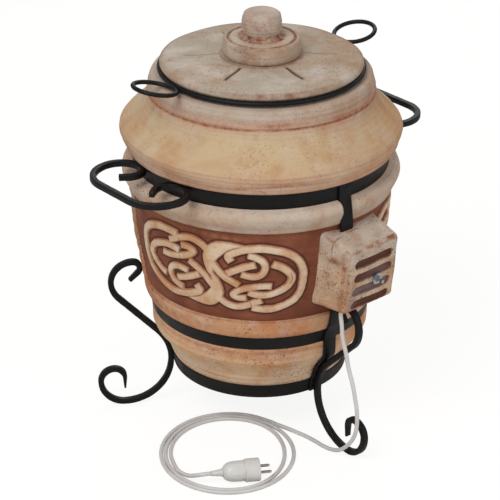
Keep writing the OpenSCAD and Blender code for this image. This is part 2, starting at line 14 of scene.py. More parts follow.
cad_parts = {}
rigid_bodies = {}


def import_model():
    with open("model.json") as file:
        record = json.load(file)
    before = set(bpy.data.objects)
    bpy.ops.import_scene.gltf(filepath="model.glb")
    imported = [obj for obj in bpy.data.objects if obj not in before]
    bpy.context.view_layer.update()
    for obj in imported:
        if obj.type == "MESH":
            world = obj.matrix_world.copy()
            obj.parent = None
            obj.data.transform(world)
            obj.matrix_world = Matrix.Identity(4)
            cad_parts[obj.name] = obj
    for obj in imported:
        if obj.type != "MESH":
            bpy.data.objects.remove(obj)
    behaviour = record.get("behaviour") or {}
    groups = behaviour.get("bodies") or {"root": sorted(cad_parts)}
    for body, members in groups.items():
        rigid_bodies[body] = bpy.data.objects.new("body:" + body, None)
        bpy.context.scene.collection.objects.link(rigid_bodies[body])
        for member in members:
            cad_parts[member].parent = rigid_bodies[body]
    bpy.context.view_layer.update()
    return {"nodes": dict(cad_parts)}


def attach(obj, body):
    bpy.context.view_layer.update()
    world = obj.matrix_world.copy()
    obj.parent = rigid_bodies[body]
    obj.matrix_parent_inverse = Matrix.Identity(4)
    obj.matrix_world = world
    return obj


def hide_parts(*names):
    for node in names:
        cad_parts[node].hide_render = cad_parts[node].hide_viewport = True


for leftover in list(bpy.data.objects):
    bpy.data.objects.remove(leftover)
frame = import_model()
MM = 0.001

# %% [markdown]
# ## The photograph's view
# A long lens from about three and a half metres looks down at the oven at 27 degrees. The camera is
# placed by its position and three axes, which is less to get wrong than a chain of rotations.

# %% Camera
def placed(name, data, right, up, back, place):
    """An object whose three axes point those ways, at a place in metres."""
    o = bpy.data.objects.new(name, data)
    o.matrix_world = Matrix([*zip(right, up, back, place), (0, 0, 0, 1)])
    bpy.context.scene.collection.objects.link(o)
    return o


def look_down(name, place, down_deg, roll_deg, lens):
    """A camera at place, level in X, tipped down by down_deg and rolled by roll_deg."""
    e, q = math.radians(down_deg), math.radians(roll_deg)
    ahead = np.array([0, math.cos(e), -math.sin(e)])
    up0, right0 = np.array([0, math.sin(e), math.cos(e)]), np.array([1.0, 0, 0])
    right = math.cos(q) * right0 + math.sin(q) * up0
    up = -math.sin(q) * right0 + math.cos(q) * up0
    data = bpy.data.cameras.new(name)
    data.lens, data.sensor_width, data.clip_end = lens, 36, 50
    bpy.context.scene.camera = placed(name, data, right, up, -ahead, np.array(place) * MM)


look_down("view", (-17.5, -3066.6, 1830.7), down_deg=26.734, roll_deg=0.273, lens=144)

# %% [markdown]
# ## Small helpers
# The first ones work on numbers. They hold a share between 0 and 1, fade it round a place, measure how
# far points are from a line, or give the slow waves that a hand leaves. The others build node trees:
# one turns a web colour into the linear numbers that the shader wants, one adds a node, one feeds it.

# %% Number helpers
def clamp(x):
    """Held between 0 and 1."""
    return np.clip(x, 0.0, 1.0)


def smooth(x):
    """A share with soft ends: three times its square less twice its cube."""
    return x * x * (3 - 2 * x)


def near(x, at, wide):
    """1 at a place, fading to 0 over a width each side."""
    return np.exp(-((x - at) / wide) ** 2)


def unit(v):
    """Directions, each made one long."""
    return v / np.linalg.norm(v, axis=-1, keepdims=True)


def way_of(deg):
    """The direction at an angle in degrees: (cosine, sine)."""
    return np.array([math.cos(math.radians(deg)), math.sin(math.radians(deg))])


def apart(a, b):
    """Degrees from b to a, the short way round."""
    return (a - b + 180) % 360 - 180


def polar(v):
    """Radius, direction from the front in radians, and height of points."""
    return np.hypot(v[:, 0], v[:, 1]), np.arctan2(v[:, 0], -v[:, 1]), v[:, 2]


def to_line(p, line):
    """Distance from places, given by their coordinates, to a line drawn through points.
    For each run the nearest point is the place's shadow on it, held to its two ends."""
    best = np.inf
    for a, b in zip(line[:-1], line[1:]):
        d, w = b - a, [c - e for c, e in zip(p, a)]
        t = clamp(sum(c * e for c, e in zip(w, d)) / (d @ d))
        best = np.minimum(best, sum((c - t * e) ** 2 for c, e in zip(w, d)))
    return np.sqrt(best)


def hand(q, z, seed):
    """Slow waves from the hands: a sum of sines over the angle and height, about 1 high."""
    g = np.random.default_rng(seed)
    out = 0 * (q + z)
    for _ in range(9):
        n, m = g.integers(1, 9), g.uniform(0.008, 0.07)
        out = out + g.uniform(0.3, 1) * np.sin(n * q + m * z * 2 * np.pi + g.uniform(0, 6.3))
    return out / 3.2


# %% Colour and node helpers
def linear(hex_colour):
    """sRGB hex to linear RGBA: each channel is undone from its display curve."""
    c = np.array([int(hex_colour[i:i + 2], 16) for i in (1, 3, 5)]) / 255
    c = np.where(c <= 0.04045, c / 12.92, ((c + 0.055) / 1.055) ** 2.4)
    return (float(c[0]), float(c[1]), float(c[2]), 1.0)


def feed(tree, node, ins):
    """Sets inputs: a socket is linked, a web colour is made linear, a number is put in."""
    for key, value in ins.items():
        if isinstance(value, bpy.types.NodeSocket):
            tree.links.new(value, node.inputs[key])
        else:
            node.inputs[key].default_value = linear(value) if isinstance(value, str) else value


def add(tree, kind, ins=None, **settings):
    """A node of that kind, with settings as attributes and its inputs fed."""
    n = tree.nodes.new(kind)
    for key, value in settings.items():
        setattr(n, key, value)
    feed(tree, n, ins or {})
    return n


def empty_tree(owner):
    """The node tree of a material or a world, switched on and cleared."""
    owner.use_nodes = True
    owner.node_tree.nodes.clear()
    return owner.node_tree


def new_material(name):
    """An empty material with its tree, its shader and Object coordinates in metres."""
    m = bpy.data.materials.new(name)
    t = empty_tree(m)
    shader = add(t, "ShaderNodeBsdfPrincipled")
    add(t, "ShaderNodeOutputMaterial", {"Surface": shader.outputs[0]})
    return m, t, shader, add(t, "ShaderNodeTexCoord").outputs["Object"]


def ramp(tree, fac, stops):
    """A colour ramp: stops are (place, linear colour or grey)."""
    n = add(tree, "ShaderNodeValToRGB", {"Fac": fac})
    while len(n.color_ramp.elements) < len(stops):
        n.color_ramp.elements.new(0.5)
    for e, (p, c) in zip(n.color_ramp.elements, stops):
        e.position = p
        e.color = c if isinstance(c, tuple) else (c, c, c, 1)
    return n.outputs["Color"]


def mix(tree, fac, a, b, blend="MIX"):
    """Colour a with b over it."""
    return add(tree, "ShaderNodeMix", {0: fac, 6: a, 7: b}, data_type="RGBA",
               blend_type=blend).outputs[2]


def noise(tree, where, size_mm, detail=3.0, rough=0.55, warp=0.0):
    """Noise whose lumps are about size_mm across."""
    return add(tree, "ShaderNodeTexNoise", {"Vector": where, "Scale": 1000.0 / size_mm / 2,
               "Detail": detail, "Roughness": rough, "Distortion": warp}).outputs["Fac"]


def maths(tree, operation, *values):
    """One step of arithmetic on sockets or numbers, clamped to 0 to 1."""
    return add(tree, "ShaderNodeMath", dict(enumerate(values)), operation=operation,
               use_clamp=True).outputs[0]


def attribute(tree, name, share=None):
    """A number stored on the mesh's points, or a share of it. On other meshes it reads 0."""
    value = add(tree, "ShaderNodeAttribute", attribute_name=name).outputs["Fac"]
    return maths(tree, "MULTIPLY", value, share) if share else value


def bump(tree, height, strength, depth_mm):
    """A normal that makes a grey height stand up by at most depth_mm."""
    return add(tree, "ShaderNodeBump", {"Height": height, "Strength": strength,
               "Distance": depth_mm * MM}).outputs[0]


# %% [markdown]
# ## Finishes
# Fired red clay that was brushed with a pale engobe: the engobe is rubbed off on edges and stays thin
# in grooves, where the body shows reddish brown. Iron specks are one to two millimetres wide.
# The meshes carry numbers from 0 to 1 that say where: stain in grooves and on rubbed edges, crack on
# hairlines, slot in the terminal box's slots, and smear where something ran over the surface.

# %% Clay with pale engobe
def specked(t, where, cell_mm, dot, patch):
    """Dots of a share of their cell, kept only where a patch mask is on."""
    d = add(t, "ShaderNodeTexVoronoi", {"Vector": where, "Scale": 1000 / cell_mm,
            "Randomness": 1.0}).outputs["Distance"]
    return maths(t, "MULTIPLY", ramp(t, d, [(dot * 0.6, 1.0), (dot, 0.0)]), patch)


def clay_finish(name, zones, stain_hex, specks, pits=0.45, low=0.08, high=0.62, grey=0.5):
    """Engobe over red clay. zones are (height in metres, hex) from low to high. specks, pits and
    grey say how strong the iron specks, the bump and the pale clouds are."""
    m, t, shader, where = new_material(name)
    broad, cloud = noise(t, where, 110, 4, 0.6, 0.6), noise(t, where, 24, 5, 0.65)
    grain, fine = noise(t, where, 3.4, 4, 0.7), noise(t, where, 1.3, 2, 0.6)
    # the zones' heights waver by 15 mm each way
    z = add(t, "ShaderNodeSeparateXYZ", {0: where}).outputs["Z"]
    waver = add(t, "ShaderNodeMath", {0: broad, 1: 0.03, 2: -0.015}, operation="MULTIPLY_ADD")
    z = add(t, "ShaderNodeMath", {0: z, 1: waver.outputs[0]}, operation="ADD").outputs[0]
    place = add(t, "ShaderNodeMapRange", {0: z, 1: low, 2: high}).outputs[0]
    base = ramp(t, place, [((h - low) / (high - low), linear(c)) for h, c in zones])
    warm = mix(t, 1.0, base, "#E2B48C", "MULTIPLY")
    base = mix(t, ramp(t, broad, [(0.42, 0.0), (0.66, 0.75)]), base, warm)
    base = mix(t, ramp(t, cloud, [(0.52, 0.0), (0.74, 0.6)]), base, warm)
    worn = maths(t, "MULTIPLY_ADD", attribute(t, "stain"), 1.35, -0.12)
    broken = ramp(t, noise(t, where, 7, 6, 0.75), [(0.36, 0.15), (0.60, 1.0)])
    patch = ramp(t, noise(t, where, 60, 4, 0.6), [(0.40, 0.15 * specks), (0.58, specks)])
    for mask, colour in (
            (ramp(t, noise(t, where, 34, 6, 0.72), [(0.48, 0.0), (0.68, grey)]), "#D2C8BE"),
            (maths(t, "MULTIPLY", worn, broken), stain_hex),
            (ramp(t, noise(t, where, 30, 7, 0.75), [(0.60, 0.0), (0.70, 0.5)]), "#B07A52"),
            (specked(t, where, 5.5, 0.24, patch), "#7A5036"),
            (specked(t, where, 8.5, 0.20, patch), "#5E3A28"),
            (maths(t, "MULTIPLY", ramp(t, grain, [(0.60, 0.0), (0.66, 0.7)]), patch), "#8E6142"),
            (attribute(t, "slot"), "#613A2E"),
            (attribute(t, "smear", 0.7), "#8F7E7E"),
            (attribute(t, "crack", 0.85), "#4A2A1C")):
        base = mix(t, mask, base, colour)
    height = mix(t, 0.25, mix(t, 0.35, grain, cloud), fine)
    height = mix(t, patch, height, mix(t, 0.5, height, ramp(t, fine, [(0.35, 0.0), (0.5, 1.0)])))
    feed(t, shader, {"Base Color": base, "Specular IOR Level": 0.28,
                     "Roughness": ramp(t, cloud, [(0.3, 0.74), (0.7, 0.9)]),
                     "Normal": bump(t, height, pits, 1.8)})
    return m


CLAY = clay_finish("fired clay with pale engobe", [
    (0.08, "#D4BB9F"), (0.15, "#DEC09C"), (0.19, "#D4A680"), (0.225, "#D09C74"), (0.25, "#CE9C74"),
    (0.42, "#C0AD9B"), (0.455, "#C6B8A9")], "#8E4E30", specks=0.75)
CLAY_DOME = clay_finish("fired clay, weathered shoulder", [
    (0.495, "#C9A68D"), (0.515, "#CBA98E"), (0.535, "#C8AC88"), (0.565, "#C5AC88"), (0.583, "#C2A78B"),
    (0.592, "#BC9880"), (0.604, "#B8A696")], "#93502F", specks=0.4, pits=0.4, low=0.49, grey=0.3)
# The lids' clay is a greyer engobe and is darker than the pot's, as painted shade on their upward
# faces.
CLAY_LID_SHADED = clay_finish("fired clay, lid with greyer engobe and painted shade", [
    (0.60, "#AEA192"), (0.64, "#B2A594"), (0.68, "#C3B6A5"), (0.72, "#BCB0A6")], "#7E4226",
    specks=0.55, low=0.6, high=0.72, grey=0.6)
CLAY_BOX = clay_finish("fired clay, greyer engobe", [
    (0.26, "#CFAE8F"), (0.34, "#D2B698"), (0.41, "#C6BAAC")], "#8A4A24",
    specks=1.2, pits=0.8, low=0.26, high=0.42, grey=0.7)

# %% [markdown]
# The sunk panel is painted with a dark brown slip, brushed round the pot. What stands up in it stays
# pale: the mesh says where by its number called raised. Another of its numbers marks the foot of the
# carving, where painted shade darkens the slip.

# %% Brown slip in the panel
def panel_finish():
    """Dark slip on the ground, pale engobe on what is raised, and rubbed red edges between."""
    m, t, shader, where = new_material("brown slip with pale relief")
    cloud, grain = noise(t, where, 30, 5, 0.6, 0.3), noise(t, where, 3.0, 4, 0.7)
    slip = mix(t, ramp(t, cloud, [(0.38, 0.0), (0.64, 1.0)]), "#723B26", "#8A5037")
    slip = mix(t, attribute(t, "smear", 0.55), slip, "#AD7552")
    # painted shade: the slip is darkened on the ground at the foot of the carving
    slip = mix(t, attribute(t, "foot_shade"), slip, "#4B2315")
    edge = maths(t, "MULTIPLY", attribute(t, "stain"), ramp(t, grain, [(0.30, 0.45), (0.60, 1.0)]))
    dots = add(t, "ShaderNodeTexVoronoi", {"Vector": where, "Scale": 220.0}).outputs["Distance"]
    pale = "#DCC4A8"
    for mask, colour in (
            (ramp(t, noise(t, where, 26, 5, 0.65), [(0.40, 0.0), (0.66, 1.0)]), "#C8966C"),
            (ramp(t, noise(t, where, 14, 4, 0.7), [(0.52, 0.0), (0.70, 0.6)]), "#E2D2BF"),
            (edge, "#94502C"),
            (maths(t, "MULTIPLY", ramp(t, dots, [(0.08, 1.0), (0.17, 0.0)]), 0.45), "#8A5636")):
        pale = mix(t, mask, pale, colour)
    base = mix(t, ramp(t, attribute(t, "raised"), [(0.25, 0.0), (0.70, 1.0)]), slip, pale)
    base = mix(t, attribute(t, "crack", 0.85), base, "#4A2818")
    height = mix(t, 0.3, mix(t, 0.35, grain, cloud), noise(t, where, 1.1, 2, 0.6))
    feed(t, shader, {"Base Color": base, "Roughness": 0.7, "Specular IOR Level": 0.35,
                     "Normal": bump(t, height, 0.45, 1.4)})
    return m


PANEL_PAINT = panel_finish()

# %% [markdown]
# The frame is mild steel bar, forged and brushed with matt black stove paint. Paint over scale gives
# soft highlights with a fine grain of about two millimetres.

# %% Stove paint, metals, rubber and plastics
def simple_finish(name, hex_a, hex_b, size_mm, rough, metal=0.0, bump_mm=0.0, bump_size=2.0,
                  coat=0.0, specular=0.5):
    """Two close colours in clouds of size_mm, and a bump of bump_mm with lumps of bump_size."""
    m, t, shader, where = new_material(name)
    clouds = ramp(t, noise(t, where, size_mm, 4, 0.6), [(0.35, 0.0), (0.65, 1.0)])
    dull = noise(t, where, size_mm * 0.6, 3, 0.6)
    feed(t, shader, {"Base Color": mix(t, clouds, hex_a, hex_b), "Metallic": metal,
                     "Roughness": ramp(t, dull, [(0.3, rough - 0.07), (0.7, rough + 0.07)]),
                     "Coat Weight": coat, "Specular IOR Level": specular})
    if bump_mm:
        feed(t, shader, {"Normal": bump(t, noise(t, where, bump_size, 3, 0.6), 0.6, bump_mm)})
    return m


PAINT = simple_finish("matt black stove paint on forged steel", "#09090A", "#101012", 18, 0.48,
                      bump_mm=0.35, bump_size=2.4, specular=0.24)
ZINC = simple_finish("bright zinc plated steel", "#B9BEC4", "#A6ADB4", 6, 0.28, 1.0, 0.05, 1.2)
STEATITE = simple_finish("white steatite ceramic", "#E8E2D6", "#DDD6C8", 12, 0.55, bump_mm=0.08)
BRASS = simple_finish("plain turned brass", "#C9A75C", "#B8954B", 5, 0.32, 1.0)
ELEMENT = simple_finish("heat tinted stainless tube", "#6E665E", "#57483C", 16, 0.42, 1.0, 0.05)
RUBBER = simple_finish("matt black rubber", "#1F1F21", "#29292B", 8, 0.65, bump_mm=0.05)
PVC = simple_finish("white flexible PVC", "#DAD7D5", "#CDC9C7", 40, 0.38, bump_mm=0.04,
                    bump_size=5.0, coat=0.15)
ABS = simple_finish("white moulded plastic", "#DEDDDA", "#D3D1CD", 30, 0.42, bump_mm=0.03)
NICKEL = simple_finish("nickel plated pin", "#C9C6BE", "#B9B5AA", 4, 0.22, 1.0)

# %% [markdown]
# ## Making meshes from arrays
# Every surface below is a grid: rows along a profile or a path, columns round it. One function puts
# such a grid into a mesh. Others give its faces: the last column joins the first, and either the last
# row joins the first too, or a fan closes each end.

# %% Grid to mesh
def piece(name, verts, faces, material, body, replaces, attributes=None, slot=None):
    """Puts vertices in millimetres and faces into an object that rides on a body, in place of the
    solids that it replaces. attributes are numbers for each point."""
    me = bpy.data.meshes.new(name)
    me.from_pydata((np.asarray(verts, float) * MM).tolist(), [], faces)
    for key, values in (attributes or {}).items():
        a = me.attributes.new(key, "FLOAT", "POINT")
        a.data.foreach_set("value", np.asarray(values, np.float32).ravel())
    me.materials.append(material)
    me.polygons.foreach_set("use_smooth", np.full(len(me.polygons), True))
    me.update()
    o = bpy.data.objects.new(name, me)
    bpy.context.scene.collection.objects.link(o)
    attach(o, body)
    if replaces:
        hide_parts(*replaces)
    return o


def ring_faces(rows, cols, close=False):
    """Quads between rows of closed rings, facing out when rows climb and columns turn left.
    With close, the last row joins the first."""
    i, k = np.meshgrid(np.arange(rows if close else rows - 1), np.arange(cols), indexing="ij")
    a, b, k1 = i * cols, (i + 1) % rows * cols, (k + 1) % cols
    return np.stack([a + k, a + k1, b + k1, b + k], -1).reshape(-1, 4).tolist()


def capped(rows, cols):
    """The same, closed at its ends by fans to two more points that follow the grid's."""
    k, n = np.arange(cols), rows * cols
    k1 = (k + 1) % cols
    low = np.stack([0 * k + n, k1, k], -1)
    high = np.stack([0 * k + n + 1, n - cols + k, n - cols + k1], -1)
    return ring_faces(rows, cols) + low.tolist() + high.tolist()


def turned(profile, cols, ripple=None):
    """A profile of (radius, height) turned round Z. Its two ends lie on the axis, as points."""
    profile = np.asarray(profile, float)
    q = np.arange(cols) * 2 * np.pi / cols
    r, z = profile[1:-1, :1], profile[1:-1, 1:]
    R = r + (ripple(q[None, :], z, r) if ripple else 0)
    rings = np.stack([R * np.cos(q), R * np.sin(q), z + 0 * q], -1).reshape(-1, 3)
    verts = np.vstack([rings, [[0, 0, profile[0, 1]], [0, 0, profile[-1, 1]]]])
    return verts, capped(len(profile) - 2, cols)


def turned_loop(loop, cols):
    """A closed outline of (radius, height), listed anticlockwise, turned round Z."""
    loop = np.asarray(loop, float)
    q = np.arange(cols) * 2 * np.pi / cols
    v = np.stack([loop[:, :1] * np.cos(q), loop[:, :1] * np.sin(q), loop[:, 1:] + 0 * q], -1)
    return v.reshape(-1, 3), ring_faces(len(loop), cols, close=True)


def toward(r, az, z):
    """Points from radius, direction (0 is the front, growing to the right) and height."""
    return np.stack([r * np.sin(az), -r * np.cos(az), z + 0 * az], -1)


def stood(verts, az):
    """From local (radial, across, height) to the frame, for a direction from the front."""
    x, y, z = np.asarray(verts, float).T
    a = math.radians(az)
    return np.stack([x * math.sin(a) + y * math.cos(a), -x * math.cos(a) + y * math.sin(a), z], -1)


def eased(points, step):
    """Points along a smooth curve through the given ones, about step apart (Catmull-Rom)."""
    P = np.asarray(points, float)
    P = np.vstack([2 * P[0] - P[1], P, 2 * P[-1] - P[-2]])
    out = []
    for a, b, c, d in zip(P[:-3], P[1:-2], P[2:-1], P[3:]):
        n = max(1, int(math.ceil(np.linalg.norm(c - b) / step)))
        t = (np.arange(n) / n)[:, None]
        out.append(b + t * (c - a) / 2 + t * t * (2 * a - 5 * b + 4 * c - d) / 2
                   + t ** 3 * (3 * b - a - 3 * c + d) / 2)
    return np.vstack(out + [P[-2:-1]])


def dense(points, step):
    """The same corners with straight runs cut to about step."""
    P = np.asarray(points, float)
    out = [P[:1]]
    for a, b in zip(P[:-1], P[1:]):
        n = max(1, int(round(np.linalg.norm(b - a) / step)))
        out.append(a + (b - a) * (np.arange(1, n + 1) / n)[:, None])
    return np.vstack(out)


print("helpers ready")

# %% [markdown]
# ## The mains cord and its plug
# The cord hangs from the underside of the box, reaches the floor, runs round in an oval coil and ends
# in its plug. Its route is the same list of points as in the solid model. The tube keeps one diameter,
# and its rings are carried along the way without twist.

# %% Cord route
CORD_D = 7.0
EXIT = (131, -200, 276)
HANG = [EXIT, (131, -200, 268), (133, -203, 252), (135, -206, 229), (141, -213, 203),
        (146, -219, 177), (153, -228, 151), (157, -233, 129), (160, -238, 111), (161, -238, 88),
        (159, -235, 64), (153, -228, 44), (144, -217, 26), (134, -206, 13), (122, -193, 6),
        (108, -178, 3.5), (94, -162, 3.5), (79, -147, 3.5), (63, -134, 3.5), (46, -121, 3.5),
        (32, -111, 3.5)]
TAIL = [(-136, -256, 3.5), (-127.5, -266.5, 4), (-118, -277, 7), (-108, -285.5, 12.5),
        (-98, -291, 17.5)]
PLUG_YAW = math.radians(10)
PLUG_DIR = np.array([math.cos(PLUG_YAW), math.sin(PLUG_YAW), 0])
PLUG_REAR = np.array([-80, -290, 19.5])


def coil_point(u):
    """An oval of 116 by 125 that shrinks 7.7 each turn; past 1.25 turns its side draws in 8."""
    q = math.pi / 2 + 2 * math.pi * u
    s = 7.7 * u + (8 * max(0.0, math.cos(q)) ** 3 if u > 1.25 else 0)
    s += 14 * max(0.0, u - 2) ** 2
    return np.array([-52 + (116 - s) * math.cos(q), -201 + (125 - s) * math.sin(q), CORD_D / 2])


def coil_way(u):
    """The direction in which the coil runs at u."""
    return unit(coil_point(u + 0.002) - coil_point(u - 0.002))


COIL = [coil_point(-0.1 + 2.406 * i / 58) for i in range(59)]
COIL = [COIL[0] - 7 * coil_way(-0.1)] + COIL + [COIL[-1] + 7 * coil_way(2.306)]
ROUTE = np.array([*HANG, COIL[0] - 7 * coil_way(-0.1), *COIL, COIL[-1] + 7 * coil_way(2.306),
                  *TAIL, PLUG_REAR - 8.4 * PLUG_DIR, PLUG_REAR], float)
CORD_PATH = eased(ROUTE, 4.0)


def tube(path, radius, cols):
    """Rings along a path that starts downwards, closed by a fan at each end. Two directions square
    to the way are carried from ring to ring: each loses only its part along the new way."""
    way = unit(np.gradient(path, axis=0))
    side = np.zeros_like(way)
    side[0] = unit(np.cross(way[0], [1, 0, 0]))
    for i in range(1, len(way)):
        side[i] = unit(side[i - 1] - (side[i - 1] @ way[i]) * way[i])
    up = np.cross(way, side)
    q = (np.arange(cols) * 2 * np.pi / cols)[:, None]
    rings = path[:, None] + radius * (np.cos(q) * side[:, None] + np.sin(q) * up[:, None])
    return np.vstack([rings.reshape(-1, 3), path[:1], path[-1:]]), capped(len(path), cols)


cord = piece("mains_cord", *tube(CORD_PATH, CORD_D / 2, 16), PVC, "oven",
             ("cord_lead", "cord_coil", "cord_tail"), slot="white_pvc")

# %% [markdown]
# The plug lies on its collar. It is turned about its own axis, then laid along the cord's last run.
# Its strain relief has shallow grooves; the body has a finger waist and the collar a rounded rim.

# %% Plug
def laid(verts, at):
    """Lays points that were made along local Z along the plug's direction, from a place."""
    s = np.cross([0, 0, 1], PLUG_DIR)
    return at + verts[:, :1] * s + verts[:, 1:2] * np.cross(PLUG_DIR, s) + verts[:, 2:] * PLUG_DIR


RELIEF = [(0, 0), (4.2, 0)] + [(4.2 + 2.8 * t / 20 - (0.7 if 2 < t < 17 and t % 4 >= 2 else 0), t)
                               for t in np.arange(1, 20, 1.0)] + [(7, 20), (0, 20.2)]
verts, faces = turned(RELIEF, 40)
relief = piece("plug_grip", laid(verts, PLUG_REAR), faces, ABS, "oven", ("plug_relief",),
               slot="white_pvc")
BODY = [(0, 20), (9, 20), (10, 20.6), (12.4, 23), (14.5, 26), (16.2, 31), (16.9, 34), (17.3, 39),
        (17.5, 42), (17.5, 54.5), (16.9, 55.2), (16.9, 56.1), (18.6, 56.3), (19.3, 56.9),
        (19.5, 57.8), (19.5, 61), (19.3, 61.5), (19.3, 62.3), (19.5, 62.8), (19.5, 79.2),
        (19.2, 80.3), (18.4, 80.9), (15.5, 81), (15.2, 80.4), (0, 80.4)]


def flutes(q, z, r):
    """Shallow finger grooves in the body: 0.5 deep, 12 of them, only between 33 and 53. Like every
    ripple it is given the angle, height and radius, and gives what is added to the radius."""
    on = clamp((z - 33) / 3) * clamp((53 - z) / 3)
    return -0.5 * on * (0.5 + 0.5 * np.cos(12 * q)) ** 2


verts, faces = turned(dense(BODY, 0.9), 72, flutes)
plug = piece("plug_shell", laid(verts, PLUG_REAR), faces, ABS, "oven", ("plug_body",),
             slot="white_plastic")
PIN_GAP = 19
PIN = [(0, 66), (2.3, 66), (2.3, 80), (2.4, 80.2), (2.4, 97), (2.2, 98.4), (1.6, 99.6),
       (0.9, 100), (0, 100)]
v, f = turned(dense(PIN, 1.5), 24)
pin_way = PIN_GAP / 2 * np.cross(PLUG_DIR, [0, 0, 1])
pins = piece("plug_contacts", np.vstack([laid(v, PLUG_REAR - pin_way), laid(v, PLUG_REAR + pin_way)]),
             f + [[k + len(v) for k in face] for face in f], NICKEL, "oven", ("plug_pins",),
             slot="nickel")
print("plug pieces on the cord: 3")

# %% [markdown]
# ## The pot
# The pot is thrown, so its wall is a turned outline; no two turns of the hand are alike, so each ring
# moves in and out by less than a millimetre. Outlines are (height, radius), as in the solid model.

# %% Pot outline
SEATS = [(82, 24, 151, 154), (195, 24, 186.6, 190.5), (465, 30, 215, 215)]
FOOT = [(107, 153), (112, 154.8), (116, 156.2), (121, 158), (132, 162.3), (143, 168), (149, 172.6),
        (155, 177.6), (160, 181.6), (165, 184.2), (172, 185.4), (180, 185.8), (194, 186)]
BAND = [(220.5, 193), (229, 197), (240, 199.2), (250, 200.4), (254, 200.8)]
PANEL = [(254, 200.8), (262, 202.8), (277, 205), (293, 207.6), (309, 210.4), (325, 213.2),
         (341, 215.8), (358, 217.8), (374, 219.2), (390, 220.2), (408, 221), (426, 223)]
ROLL = [(426, 223), (434, 226), (438, 228.4), (442, 230.5), (446, 232.2), (450, 233), (454, 232.8),
        (458, 231.6), (461, 229.6), (464.4, 225)]
DOME = [(495.6, 224.5), (502, 227.6), (507, 229.6), (512, 231.6), (517, 233.6), (522, 234.8),
        (527, 235), (532, 233), (537, 229), (542, 224.2), (547, 218.8), (552, 213.3), (557, 208),
        (562, 203.2), (567, 199), (572, 195.6), (577, 193), (582, 191.1), (586, 189.8),
        (588, 187.8), (590, 187.6), (591.5, 188.4), (598, 187.5), (606, 186), (612, 184.2),
        (616.5, 182.4), (618, 181)]
ROOM = [(590, 128), (576, 142), (560, 158), (540, 170), (520, 172), (490, 171), (460, 171),
        (420, 170), (360, 165.5), (300, 160), (250, 153), (200, 145), (160, 133), (130, 120)]
# Two plain strips stand between the panels. The band is cut BEHIND deeper than the panels' ground, so
# that the carved slabs which fill it have no pot wall showing through. The straps lie in grooves.
# At the panels' mean radius of 217 mm one degree is MM_PER_DEG long.
STRIPS, STRIP_HALF, PANEL_DEEP, BEHIND = (-78, 162), math.degrees(8 / 220), 4.5, 3.0
GROOVES, GROOVE_HALF, GROOVE_WALL = (38, 218), 3.62, ([424, 428, 466], [220.5, 220.5, 214.2])
MM_PER_DEG = 3.79


def seat(s):
    """The two points of the clay under a hoop: 4 inside its outer face."""
    return [(s[0] + 0.2, s[2] - 4), (s[0] + s[1] - 0.2, s[3] - 4)]


OUTSIDE = np.vstack([[(86, 147.5)], dense([(105.8, 150), (106, 150)], 3), eased(FOOT, 2.2),
                     dense(seat(SEATS[1]), 6), eased(BAND, 2.2)[:-1], [(254, 200.8)],
                     eased(PANEL, 2.2)[1:-1], [(426, 223)], eased(ROLL, 1.8)[1:],
                     dense(seat(SEATS[2]), 6), eased(DOME, 1.8)])
INSIDE = np.vstack([[(618.7, 179.5), (618.7, 131), (617.6, 128.4), (610, 128)], eased(ROOM, 7)])
EDGE = np.unique(np.round(np.concatenate(
    [np.arange(0, 360, 1.25)]
    + [(a + s * STRIP_HALF + np.array([-0.2, 0.2, 0])) % 360 for a in STRIPS for s in (-1, 1)]
    + [(a + s * GROOVE_HALF + np.array([-0.1, 0.1])) % 360 for a in GROOVES for s in (-1, 1)]), 4))


def pot_surface(az, z):
    """Radius = outline + waves of the hand, which stop under the hoops. The band of the panels is
    cut away except on the strips, and each strap has a groove through the roll above it."""
    strip = sum(np.abs(apart(EDGE, s)) <= STRIP_HALF + 0.05 for s in STRIPS) > 0
    under = sum(np.abs(z - s[0] - s[1] / 2) < s[1] / 2 + 2 for s in SEATS)
    rings = 0.35 * np.sin(z * 2 * np.pi / 7.3 + 2 * np.sin(az)) * (z > 492)
    fingers = 0.45 * np.sin(z * 2 * np.pi / 11 + np.sin(az + 1)) * ((z > 107) & (z < 194))
    R = OUTSIDE[:, 1:] + (hand(az, z, 4) * 0.8 + rings + fingers) * (1 - clamp(under))
    R = R - (PANEL_DEEP + BEHIND) * ((z > 255) & (z < 425) & ~strip)
    for s in GROOVES:
        on = (np.abs(apart(EDGE, s)) <= GROOVE_HALF) & (z > 425.6) & (z < 465)
        R = np.where(on, np.minimum(R, np.interp(z, *GROOVE_WALL)), R)
    return R


def pot_mesh():
    """The outside and then the room inside, as one grid that is closed on the axis at both ends."""
    az, z, room_z = np.radians(EDGE)[None, :], OUTSIDE[:, :1], INSIDE[:, :1]
    room = toward(INSIDE[:, 1:] + 0.6 * hand(az, room_z, 9), az, room_z)
    rings = np.concatenate([toward(pot_surface(az, z), az, z), room]).reshape(-1, 3)
    return np.vstack([rings, [[0, 0, 86], [0, 0, 130]]]), capped(len(OUTSIDE) + len(INSIDE), len(EDGE))


verts, faces = pot_mesh()
print("pot:", len(verts), "points", len(faces), "faces")

# %% [markdown]
# Stains on the pot follow the hand: a red line in the groove of the neck, a wavy brown line low on the
# dome, rubbed rims of the panel, and rings on the lowest wall.

